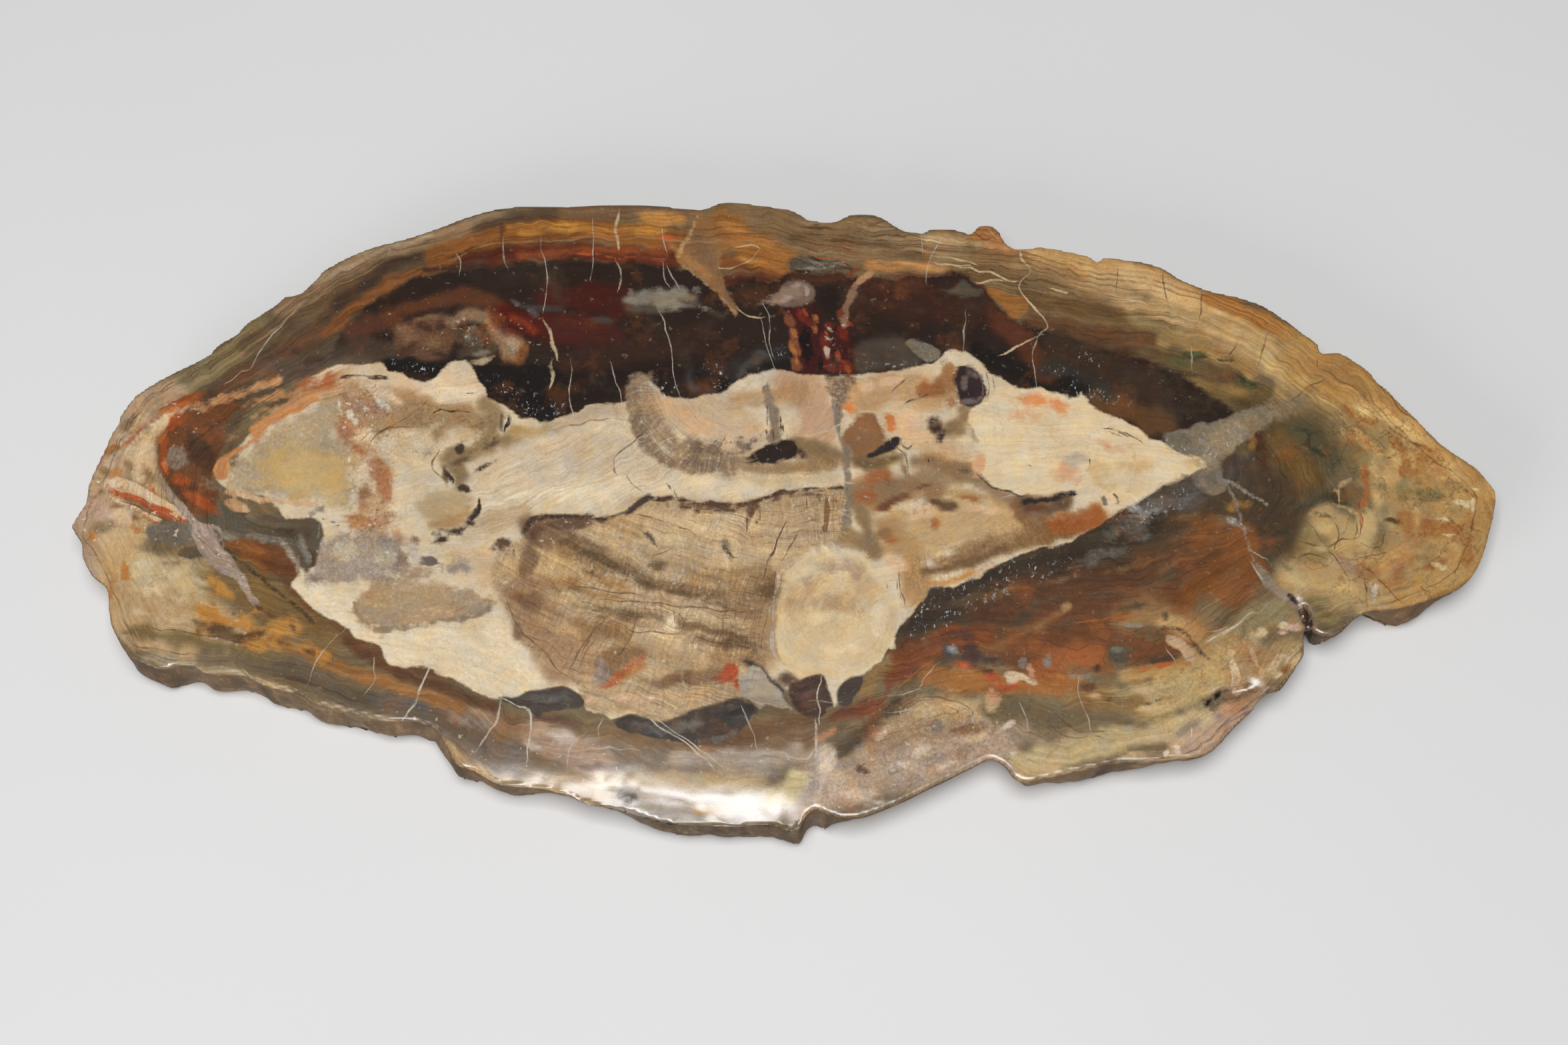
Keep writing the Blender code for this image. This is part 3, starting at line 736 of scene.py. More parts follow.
def lay_heart():
    """The cream heart's ground and its soft tints, the fan among them."""
    ground("heart", CREAM, HEART, 2.2, streaks=0.3, bands=0.1, rays=0.0, speckle=0.25, stains=0.12,
        threads=0.25, dark_flecks=0.35, pale_flecks=0.15)

    def tint(colour, points, width=None, soft=10, much=1.0):
        wash("heart", colour, points, soft, width, much)

    tint("#B78A62", (385,640, 15,-22, 80,-38, 50,-8), 34, 7)
    # upper left: pinkish cream roof with tan stains and a rusty blotch
    tint("#D3B892", (480,560, 60,-8, 60,23, 120,0), 50, 10)
    tint("#E1CBA8", (655,590, 25,10, 25,0, 10,15), 42, 7)
    tint("#B2906C", (500,600, 120,15, 30,15), 50, 10)
    tint("#A98C68", (570,640, 80,10), 34, 10)
    tint("#BA9470", (520,585, 10,85, 40,40, -10,75), 50, 14, 0.75)
    clouds("heart", "#A87450", 515,640,22,44,-20, 20,32,30,14,35, 37,40,26,40,0, 10,26,20,30,10,
        -34,7,22,36,20, -13,31,50,9,0, 35,7,50,8,4, -70,-215,20,26,30, 66,126,24,9,0, 30,121,18,60,-4)
    clouds("heart", "#AE8B70", 560,612,50,26,20, -30,-7,30,30,0, 15,35,30,14,-20, 55,210,20,26,0,
        -12,-75,30,12,0)
    clouds("heart", "#D9BE98", 575,590,50,14,25, -30,65,30,12,-30, 0,55,18,30,0, 15,18,10,20,0)
    tint("#CDB792", (605,670, 35,20, -15,100), 60, 10)
    tint("#A88C66", (620,620, 80,5, 20,15), 34, 9)
    tint("#978260", (728,605, 10,20, -8,23), 26, 8)
    tint("#8E7A58", (705,680, 65,-25), 24, 7)
    tint("#8A7656", (678,682, 14,43), 28, 6)
    clouds("heart", "#5E4A32", 668,715,7,34,-8, 20,-25,26,10,-20, 60,-50,7,44,18, -13,28,26,6,-25,
        -45,0,8,14,0)
    clouds("heart", "#C9B083", 700,650,50,18,-8, -60,0,50,9,-35)
    tint("#BA9A64", (765,648, 35,0, 30,-8), 16, 6)
    tint("#B8A27C", (650,760, 40,-5, 25,5), 44, 9)
    tint("#B0906A", (650,790, 40,-10, 25,-15), 14, 5)
    # central cream band, streaked and palest along its foot
    tint("#CDB795", (740,720, 140,-40, 180,50, 100,-5), 80, 14)
    tint("#DDC9A6", (730,770, 70,-25, 80,0, 80,-15, 180,2), 30, 8)
    tint("#C4AA84", (700,800, 80,-35), 34, 9)
    tint("#D0B48C", (700,850, 30,0, 15,20), 54, 9)
    tint("#C0A988", (840,640, 50,-20, 40,-5), 24, 8)
    # bottom cream, the palest
    tint("#DECAA6", (450,890, 170,80, 220,50), 66, 12)
    tint("#E3D0AE", (740,950, 40,30, 10,30), 34, 9)
    # fan, fading into cream on its right
    tint("#C7AC86", (1000,610, 100,30, 0,40), 70, 16)
    tint("#C49E7C", (1190,570, 30,20, 10,50), 60, 12)
    tint("#A8835C", (1100,600, 100,-10), 26, 10, 0.6)
    tint("#8A6A44", (1272,668, 28,8, 35,-8), 20, 6, 0.9)
    tint("#846B4B", (1200,674, 102,16), 26, 9, 0.9)
    tint("#8F7654", (1250,800, 60,22), 28, 9, 0.9)
    tint("#957A5A", (1445,618, 21,14, 4,18), 26, 9, 0.9)
    tint("#8A6F50", (1550,750, 50,0), 18, 8, 0.9)
    tint("#9F835E", (1110,700, 70,2, 70,-6), 18, 6)
    tint("#C9B187", (1130,720, 120,-5), 14, 5)
    # right of the blue vein
    tint("#C29D72", (1290,600, 50,-20, 60,10), 60, 12)
    tint("#CFAD80", (1350,640, 80,50), 56, 12)
    tint("#76603F", (1286,694, 34,2, 30,-12), 16, 6)
    tint("#8F6E4E", (1290,740, 80,-12, 25,7), 44, 10, 0.9)
    tint("#9C8261", (1385,722, 35,-10, 45,4, 35,19), 26, 8)
    tint("#B8996C", (1430,742, 80,10), 20, 8)
    tint("#C3A374", (1350,790, 50,10, 50,-15, 70,-5), 70, 14)
    tint("#B28F64", (1330,790, 30,40, 10,60), 40, 10)
    tint("#8C7556", (1292,770, 18,52), 22, 7)
    tint("#9A8068", (1500,745, 70,30), 22, 8)
    tint("#A68760", (1440,830, 160,-40), 26, 8)
    tint("#7C5F40", (1388,856, 42,-5, 80,-29), 18, 5)
    tint("#8A6A42", (1525,815, 55,-12, 50,-18), 20, 6)
    tint("#9D5C2C", (1580,793, 65,-18), 30, 8)
    tint("#5E4938", (1535,757, 35,6, 30,-6), 22, 8, 0.9)
    tint("#8E7154", (1372,690, 68,14), 20, 7, 0.9)
    tint("#C08A4C", (1392,876, 38,-3, 30,-11), 8, 4, 0.9)
    clouds("heart", "#8E6D4C", 1415,575,34,40,0, -10,65,20,16,0, -45,65,26,9,75, 60,135,60,14,-12,
        50,-18,50,12,-25, -140,-22,30,26,0)
    clouds("heart", "#DDB588", 1365,640,60,44,50, -25,-70,40,18,-10, -40,10,30,20,0, 180,185,60,12,5,
        -100,5,44,20,-30, -35,75,30,24,0, 135,13,40,10,-22)
    clouds("heart", "#A4653A", 1318,716,50,24,5, -18,26,30,20,0, 100,43,13,18,0, 55,-36,34,9,5,
        -115,63,22,12,0, 265,-37,60,20,-12)
    clouds("heart", "#6A422E", 1345,750,60,14,-28, 37,-18,30,10,-20, -54,32,20,10,0, 228,-2,34,14,-15)
    clouds("heart", "#5E4632", 1420,761,24,16,0, -15,-4,20,7,20)
    clouds("heart", "#8A7250", 1430,640,44,34,-40, -220,32,60,24,0, 30,18,30,16,0)


def lift_cream():
    """The palest wood is a touch lighter and cooler than its mixed paints."""
    paint = base_paint["heart"]
    paint += step_up(paint.mean(1), 0.57, 0.69)[:, None] * np.array([0.030, 0.050, 0.078])


def lay_core():
    """The old middle of the trunk, with its close rings."""
    def tint(colour, points, width=None, soft=9, much=1.0):
        wash("heart", colour, points, soft, width, much)

    tint("#BBA27F", CORE, None, 4)
    texture(CORE, 6, streaks=0.3, bands=0.6, rays=0.5, speckle=0.5, pale_flecks=0.5, dark_flecks=0.4)
    tint("#C3AB88", (960,790, 160,35, 60,-5), 66, 14)
    tint("#B2936A", (820,805, 125,-13), 34, 10)
    tint("#6A5340", (790,795, 90,-12), 24, 7)
    tint("#80694F", (800,800, 80,20), 46, 12, 0.9)
    tint("#7E694B", (860,905, 50,13, 50,6, 120,26, 65,22), 12, 5, 0.85)
    tint("#8C7352", (1130,860, 25,20, 10,20), 30, 8, 0.8)
    clouds("heart", "#CFB88F", 870,905,50,14,15, 130,50,60,16,5, 50,-30,60,12,8, -110,-30,60,12,12,
        80,-95,80,24,10, much=0.7)
    clouds("heart", "#77624A", 1060,905,70,8,5, -230,-25,50,8,30, 155,-35,40,9,-10, 125,100,50,9,15,
        much=0.7)
    tint("#A27C50", (830,860, 90,25), 36, 9)
    tint("#C6A77A", (790,850, 40,-5, 30,5), 40, 9)
    tint("#8C7353", (850,822, 80,28, 70,33, 150,10), 24, 8)
    clouds("heart", "#6C573C", 870,826,40,12,20, 40,16,50,14,22, 25,16,30,10,30, 40,20,44,12,18,
        45,11,50,9,8, 45,4,44,8,2, 85,-8,30,18,-20, 10,-13,18,24,0, -20,-7,50,9,0, -155,-17,30,18,0,
        -135,-33,26,12,0, 40,47,30,6,20)
    tint("#A98B63", (1040,865, 110,-7), 18, 8)
    clouds("heart", "#765F42", 960,926,40,9,0, 75,14,40,10,10, 40,6,40,10,12, 35,12,30,14,20,
        -210,-30,20,8,0, -40,-43,30,8,20)
    tint("#DDC6A0", (1005,930, 3,15), 16, 5)
    tint("#96754F", (870,950, 65,5), 40, 12, 0.9)
    tint("#A98355", (880,1005, 70,-25), 34, 12, 0.8)
    tint("#A98A6A", (790,900, 60,90), 70, 12)
    tint("#8D6D4C", (775,895, 55,35), 22, 7)
    tint("#9C7E5C", (1105,900, 35,30, 15,45), 50, 12, 0.85)
    tint("#9E7E58", (1075,985, 60,5), 26, 9, 0.8)
    clouds("heart", "#7E6248", 800,900,40,20,30, 20,25,40,24,40, -35,-20,20,30,-30, -10,40,20,30,0,
        15,-105,26,50,0)
    tint("#B07038", (905,1027, 60,-27), 10, 5, 0.8)
    clouds("heart", "#99623A", 1424,572,28,40,10, -22,10,34,24,-10, much=0.9, rough=0.6)
    clouds("heart", "#8A6844", 1562,790,36,34,10, 22,16,60,10,-15, -60,-44,20,22,0, much=0.8, rough=0.9)
    clouds("heart", "#D8C19A", 1050,822,120,44,5, -50,-14,70,30,10, 110,-18,90,30,0, -210,13,60,22,15,
        180,-28,120,18,0, -60,137,90,9,8, -120,-30,70,16,18, 130,21,60,10,5, much=0.6, rough=0.6)
    clouds("heart", "#C9A87A", 1000,958,80,14,0, -170,-23,60,24,40, 220,105,120,16,-4, much=0.6, rough=0.6)
    clouds("heart", "#785C40", 1060,1015,90,26,-5, 5,-53,60,14,12, 45,6,60,24,20, -160,-38,60,14,10,
        -20,55,60,30,-40, 70,35,60,20,0, much=0.7, rough=0.6)
    tint("#5A4335", (1180,1020, 20,10, 20,20), 20, 6)
    tint("#46372B", (1118,992, 24,14, 34,36), 9, 3)


def lay_heart_details():
    """The markings with sharp edges of their own."""
    patch("#2A201C", (1100,695, 55,-29, 30,-5, 12,9, -15,20), 2.6)
    # left lobe: quartz window with a yellow middle
    patch("#B5A283", (345,690, 25,-5, 20,-25, 60,-35, 50,-30, 5,55, 25,40, 0,60, -15,15, -75,-20, -80,-10,
        -18,-15), 9, None, rough=0.8, full=1.0, streaks=0.1, bands=0.0, rays=0.0, speckle=0.5)
    patch("#CAAE78", (390,690, 40,-18, 90,18, -10,62, -100,-27), 12, None, rough=0.9, full=0.95,
        streaks=0.05, bands=0.0, rays=0.0, speckle=0.25)
    patch("#A8998A", (484,804, 26,-4, 90,6, 10,49, -90,25, -70,-12, 20,-16), 7, None, rough=0.9, full=1.2,
        streaks=0.1, bands=0.0, rays=0.0, speckle=0.7)
    spots("#C4B7A0", 6, 520,826,46,26,0, 60,12,30,16,0, rough=0.9, full=0.9)
    spots("#8B7468", 5, 605,838,22,46,20, 17,-23,12,20,0, -152,53,24,9,20, 120,2,40,8,-10, rough=0.9,
        full=0.8)
    patch("#5E5241", (395,772, 35,4, 32,-2, 20,8, 7,18, -9,22, -6,26, -14,9, -12,-7, -12,-36, -51,-24), 2.6,
        None, rough=0.6, full=1.8)
    spots("#76736A", 3, 480,795,7,28,8, -6,-27,16,7,0, rough=0.8, full=0.8)
    spots("#5B4328", 4, 466,838,18,26,10, rough=0.9, full=1.0)
    spots("#4A3D30", 4, 430,800,50,14,5, 35,40,14,22,0, rough=0.9, full=0.9)
    patch("#3A3029", (484,779, 13,3, 9,8), 1.6, 3)
    spots("#DAD2BC", 1.8, 527,622,8,12,0, 8,11,6,10,20, -20,-15,5,5,0, 33,-6,8,8,30, -29,29,5,5,0,
        52,-38,15,6,60, 12,9,12,5,60, -75,-6,6,8,0, 16,84,5,8,0, rough=0.9, full=1.4)
    spots("#AE6A42", 4, 496,572,16,32,0, -18,11,26,10,-20, -23,-6,30,7,-18, rough=1.0, full=0.9)
    patch("#4A342A", (507,568, 33,-5, 38,2), 1.8, 4)
    spots("#B98A5E", 4, 540,782,60,10,-3, rough=0.9, full=0.9)
    patch("#B39A78", (534,900, 26,-24, 80,-8, 40,14, 55,18, -13,24, -62,6, -20,8, -80,2, -28,-18), 5, None,
        rough=0.8, full=1.0, streaks=0.05, bands=0.0, rays=0.0, speckle=0.5, stains=0.5)
    spots("#A4927A", 7, 690,905,70,30,8, -78,-45,60,14,-5, -52,65,50,16,20, rough=1.0, full=0.8)
    patch("#8E806A", (640,932, 60,-4, 22,-7, 14,-16), 2.4, 5, full=1.0)
    patch("#96876E", (532,908, 8,19, 22,13, 38,3, 40,-6), 2.4, 5, full=1.0)
    patch("#6F635F", (622,850, 5,-12, 13,-5, 10,5, 6,9), 1.8)
    patch("#9F9183", (680,850, 12,-4, 5,6), 5, 17)
    patch("#CFC3B0", (612,825, 10,7, 0,10), 5, 20)
    spots("#3A2C20", 2.6, 757,640,7,30,30, -20,22,6,12,10, 25,-34,6,10,0, rough=0.6, full=1.5)
    spots("#44362A", 2.4, 661,811,24,13,-10, -6,-8,16,8,0, 29,-8,40,9,-28, 22,-15,34,8,-38, 13,-16,6,26,14,
        -35,38,20,5,10, 22,-15,16,5,0, -38,12,18,5,20, 28,-66,20,12,20, -24,-17,8,30,-20, 18,-44,12,16,0,
        32,28,30,5,-25, rough=0.5, full=1.6)
    # dark line under the cream band
    spots("#5E4733", 4, 757,816,26,11,-10, 11,12,8,20,-20, 32,-28,30,14,-20, rough=1.1, full=1.0)
    patch("#43332A", (782,803, 15,-21, 18,-5, 45,-4, 45,5, 45,-14), 2.2, (8, 6), rough=0.5, full=2)
    patch("#453A36", (940,771, 36,-25), 2.2, (7, 12), rough=0.5, full=2)
    patch("#4F3A2D", (980,747, 50,6, 30,6, 30,-2, 38,-2, 38,-13, 39,-8, 57,-2), 2, (7, 7), rough=0.6,
        full=2)
    spots("#6B5140", 3, 1035,761,50,10,6, 50,3,50,8,-2, 40,1,14,20,0, 25,-9,40,7,-15, 65,-14,44,8,0,
        -93,43,5,24,8, 15,-10,4,24,10, -267,9,50,9,0, -40,6,40,12,-8, rough=1.2, full=0.9)
    spots("#5E5448", 3, 975,806,26,7,60, 114,14,8,14,-30, 6,12,5,14,-30, rough=0.9, full=0.5)
    # fan: a brown outer band with a fairly sharp rim, fading inwards
    patch("#A08A70", (962,578, 38,82, 100,30), 10, (30, 44), full=0.85, rough=0.7, streaks=0.5, rays=1.0)
    patch("#8E7962", (952,585, -2,25, 20,52, 22,23, 28,13, 32,4, 33,-4), 3.2, (22, 18), full=0.9, rough=0.5,
        streaks=0.4, rays=1.2)
    spots("#7C6A58", 6, 1065,676,70,18,4, 30,-8,40,9,-8, -55,22,50,8,6, rough=1.2, full=0.8)
    spots("#DDB68E", 8, 1020,620,60,20,30, 30,20,50,20,15, 78,1,24,14,0, full=0.7)
    spots("#5A4A40", 1.8, 1075,662,3,14,30, 10,2,3,16,30, 11,0,3,18,28, 11,0,3,18,28, 11,-3,3,18,28,
        12,-4,3,16,28, 12,-2,3,14,26, 10,-4,3,16,24, 13,4,3,14,10, 15,1,3,14,-10, rough=0.8, full=1.2)
    patch("#8C7B6A", (1146,578, 18,57, -4,25), 3, (10, 16), rough=0.8, full=0.95, rays=0.6)
    spots("#6A564A", 1.8, 1147,590,3,26,-10, 5,35,3,34,0, 21,0,3,40,8, -13,30,6,16,0, 20,-7,4,24,-14,
        full=1.2)
    patch("#4A3834", (1200,677, 7,6), 3, 9)
    # glassy brown pane, right crescent and the blue-grey vein
    patch("#8E6746", (1264,655, 4,-15, 24,-17, 22,-2, 19,37, -15,10, -18,12, -20,1, -10,-9), 3.5, None,
        rough=0.6, streaks=0.1, bands=0.0, rays=0.0, speckle=0.3, stains=0.4)
    patch("#2D2527", (1300,684, 18,-10, 24,-20, 8,8, -6,9, -33,14), 2)
    patch("#7D6552", (1236,562, 26,0, 22,0, -12,30, -10,33, -8,0), 4, full=0.6)
    patch("#857B6C", (1243,592, 25,80), 1.8, (5, 7), full=0.85)
    patch("#857B6E", (1270,672, 1,93, -4,30), 2.6, (14, 11), full=0.8)
    spots("#D9854C", 3.5, 1274,613,20,16,0, 60,19,13,26,-28, 4,10,12,14,0)
    # black oval with its tan collar, brown ticks beside it
    spots("#A87C52", 7, 1425,562,26,46,-10, 3,38,22,30,20, rough=0.7, full=0.8)
    patch("#33272A", (1434,553, 28,0, 18,32, -6,20, -12,9, -15,-4, -9,-20), 2.6)
    spots("#6E605E", 2.6, 1473,582,8,40,0, -11,-20,20,7,35, -12,42,20,7,0, -4,-29,10,18,0, rough=0.9,
        full=0.9)
    spots("#8B5A38", 2.2, 1436,560,6,20,20, 5,40,6,18,-20, rough=0.9, full=1.0)
    spots("#3F342E", 4, 1397,632,22,16,20, 11,13,18,12,50, 5,10,10,12,0, rough=0.9)
    spots("#5A473A", 2, 1445,707,14,4,15, -53,-14,4,8,0)
    spots("#8C6D4C", 2.6, 1240,775,9,70,3, -18,7,12,8,0, -9,-27,4,20,0, 39,-3,4,24,0, -22,-2,4,16,0)
    # palest lens on the right, with its ring eye
    patch("#E6D3AF", (1482,605, -17,7, -13,13, -2,10, 7,10, 13,35, -5,25, 35,30, 40,8, 86,-8, 22,10, 10,23,
        22,-3, 12,-10, 98,-47, 22,-10, -55,-27, -115,-57, -24,-17, -58,-10, -45,-9, -20,7), 2.5, None,
        streaks=0.3, bands=0.05, rays=0.0, speckle=0.15, stains=0.08)
    spots("#E39A66", 5, 1550,600,60,20,8, 40,8,34,20,10)
    spots("#DDB08A", 6, 1532,622,34,20,0, -64,72,18,36,10, 136,10,24,34,0, 56,-36,40,8,20, -60,44,36,14,10,
        full=1.2)
    spots("#D6BC90", 5, 1650,708,36,36,0, 50,-8,60,16,0, -45,30,30,16,0, 135,-36,30,14,0, full=0.9)
    spots("#C7B9A6", 3, 1617,688,34,20,3, full=1.3)
    spots("#6E6064", 1.8, 1636,690,4,18,8)
    patch("#7B7470", (1648,750, 7,-6, 5,8, 4,9, -7,2), 1.8)
    patch("#5A4A48", (1671,741, 5,9, -3,7), 1.8, 3)
    patch("#2E2622", (1540,755, 20,-6, 52,-8), 2.4, (9, 8), full=1.4)
    # pale knot, a warm band and faint rings across it
    patch("#DAC59E", (1170,890, 15,-32, 23,-20, 34,-12, 38,6, 32,20, 24,26, 12,27, -2,40, -6,17, -40,41,
        -32,13, -36,-4, -32,3, -22,-15, -14,-35), 2.2, None, streaks=0.2, bands=0.0, rays=0.0, speckle=0.2,
        stains=0.12)
    spots("#C9AE86", 12, 1250,900,110,34,4, 50,-20,50,30,40, -105,25,50,60,0, full=0.9)
    spots("#BDA07A", 9, 1240,905,80,16,4, -25,-25,40,24,-40, full=0.7)
    spots("#B09A84", 6, 1278,850,34,16,25, -30,-2,30,10,-5, 37,18,12,14,0, -75,2,30,12,-50, full=0.9)
    spots("#B7A898", 3.5, 1166,872,8,34,20, -8,43,8,50,4, 2,50,8,50,-6, full=1.2)
    spots("#E6D3B0", 6, 1262,975,60,10,0, -27,-50,60,12,0, 85,5,24,60,0, -105,-80,40,10,-35, 35,-18,50,8,0,
        65,33,34,8,50, full=1.0)
    spots("#A08A6C", 1.6, 1330,880,3,12,-20, 20,5,4,36,-14, full=1.6)
    # quartz triangle under the core
    spots("#AC4F2A", 4, 1096,1010,24,32,10, -10,12,16,10,0, 20,4,10,16,-20, rough=0.8, full=1.6)
    spots("#B0643E", 3, 908,1026,22,10,-20, 18,-12,24,11,-35, 19,-14,24,9,-40, 15,-10,16,7,-40, rough=0.6,
        full=1.4)
    spots("#8F7F76", 5, 898,1012,26,32,30, rough=0.8, full=0.8)
    spots("#DDB893", 4, 885,1050,22,12,0, 55,-4,60,10,-3, rough=0.8, full=0.9)
    patch("#AFA596", (1128,998, 12,5, 50,60, 13,14, -23,-14, -30,-8, -12,6, -13,-11, -12,-8, -3,-17, 8,-17),
        1.8)


# ---------------------------------------------------------------- marks in the dark zone and rind

def lay_upper_details():
    """Quartz veins, crystals and grey lenses above the heart."""
    spots("#B8A282", 2, 724,540,36,8,-18)
    # tan vein at the top, with its arc
    spots("#8A8478", 5, 1000,440,60,14,-8, 20,18,60,10,6, -60,-8,30,20,0, rough=1.1, full=0.8)
    patch("#946D47", (1045,312, 27,33, 8,27, 0,26, 12,47, 12,17, -2,18, -10,-18, -14,-16, -8,-14, -54,-40,
        -2,-10, 26,-44), 2.6, None, streaks=0.15, bands=0.0, rays=0.0, speckle=0.4)
    spots("#7D6147", 7, 1055,375,60,26,70, 31,65,50,12,65)
    spots("#A97C50", 4, 1045,398,60,10,38)
    patch("#C39C6B", (1019,384, 7,-18, 14,-21, 6,-20), 2, 4)
    patch("#A98C68", (1024,398, 48,36, 20,26, 12,14), 1.8, 3.5)
    # grey-olive pocket, pink quartz and the column of red and orange crystals
    patch("#5A5042", (1187,391, 37,-5, 30,4, 27,12, -31,9, -34,1, -27,-4), 3.5, speckle=0.9,
        pale_flecks=0.5)
    spots("#8B857A", 2, 1240,396,40,5,10, -18,8,30,4,0, full=1)
    spots("#33291F", 2, 1232,386,20,6,0, 30,18,26,5,5, -54,5,20,5,0)
    patch("#4E2C1D", (1190,419, 72,1), 5, 12)
    patch("#77645A", (1138,457, 37,-19, 1,-10, 14,-7, 20,1, 12,10, 1,18, -11,8, -27,4, -20,-7), 3,
        pale_flecks=0.6)
    spots("#96806F", 4, 1192,437,30,14,-10, -24,12,30,8,-25)
    spots("#B09A8A", 2, 1202,428,16,6,0, -20,18,12,5,-30, 30,-6,6,12,0)
    patch("#3D1713", (1172,460, 10,11, 4,23, -5,16, 10,15, -3,19, 5,16, 45,1, 45,-2, -4,-23, -2,-34, -3,-15,
        -16,-5, -27,3, -5,-27), 2.4, None, streaks=0.0, bands=0.0, speckle=1.0, stains=1.2)
    spots("#7C4A30", 2.4, 1183,478,24,14,70, 7,34,50,14,85, 2,33,24,16,60)
    spots("#A3683A", 1.6, 1190,500,16,8,80, -4,22,16,8,60, 7,18,14,7,70, 28,-48,22,7,80, 3,-18,16,6,70)
    spots("#6B241A", 2.4, 1204,470,26,16,40, 12,12,20,12,70, 29,4,24,10,0, -9,34,40,14,80, 28,-20,30,14,80,
        -14,50,30,12,10, 20,-2,20,16,60)
    spots("#8F4426", 1.6, 1240,500,14,7,60, 18,35,18,8,70, 14,17,16,7,80, -63,-86,14,6,40)
    spots("#1A0D0D", 2, 1208,515,56,16,88, 40,47,20,6,0, -20,-17,20,8,80)
    spots("#BBAA9A", 1.5, 1246,492,18,7,55, -5,16,12,6,30, -3,20,14,9,60)
    patch("#B28A6A", (1306,408, -24,22), 2.2, (9, 9))
    patch("#8C6C57", (1284,430, -16,32, 2,22), 2.6, (10, 14), pale_flecks=0.6)
    spots("#7C3A20", 2.2, 1275,412,30,8,-35, -13,58,14,8,60, 15,16,12,8,60)
    spots("#1F1712", 5, 1244,448,30,22,80)
    # speckled grey chip and glassy patches to its right
    patch("#7B7263", (1360,515, 12,-5, 15,2, 13,6, 10,10, 2,9, -14,3, -14,-2, -14,-10), 2, None,
        streaks=0.0, bands=0.0, rays=0.0, speckle=1.0)
    patch("#4D4A40", (1412,436, 18,-5, 13,-10, 12,9, 18,8, -5,5, -28,2), 2.5)
    # gold end of the grey growth lines
    patch("#9C6B36", (1482,437, 48,10, 15,9, -15,18, -15,2, -13,-16), 3)
    # thin red-orange line under the gold
    patch("#A9583A", (868,384, 37,1, 45,4, 53,0), 1.6, 3)
    spots("#B8562A", 2, 1003,359,26,8,5, -123,24,30,4,0)


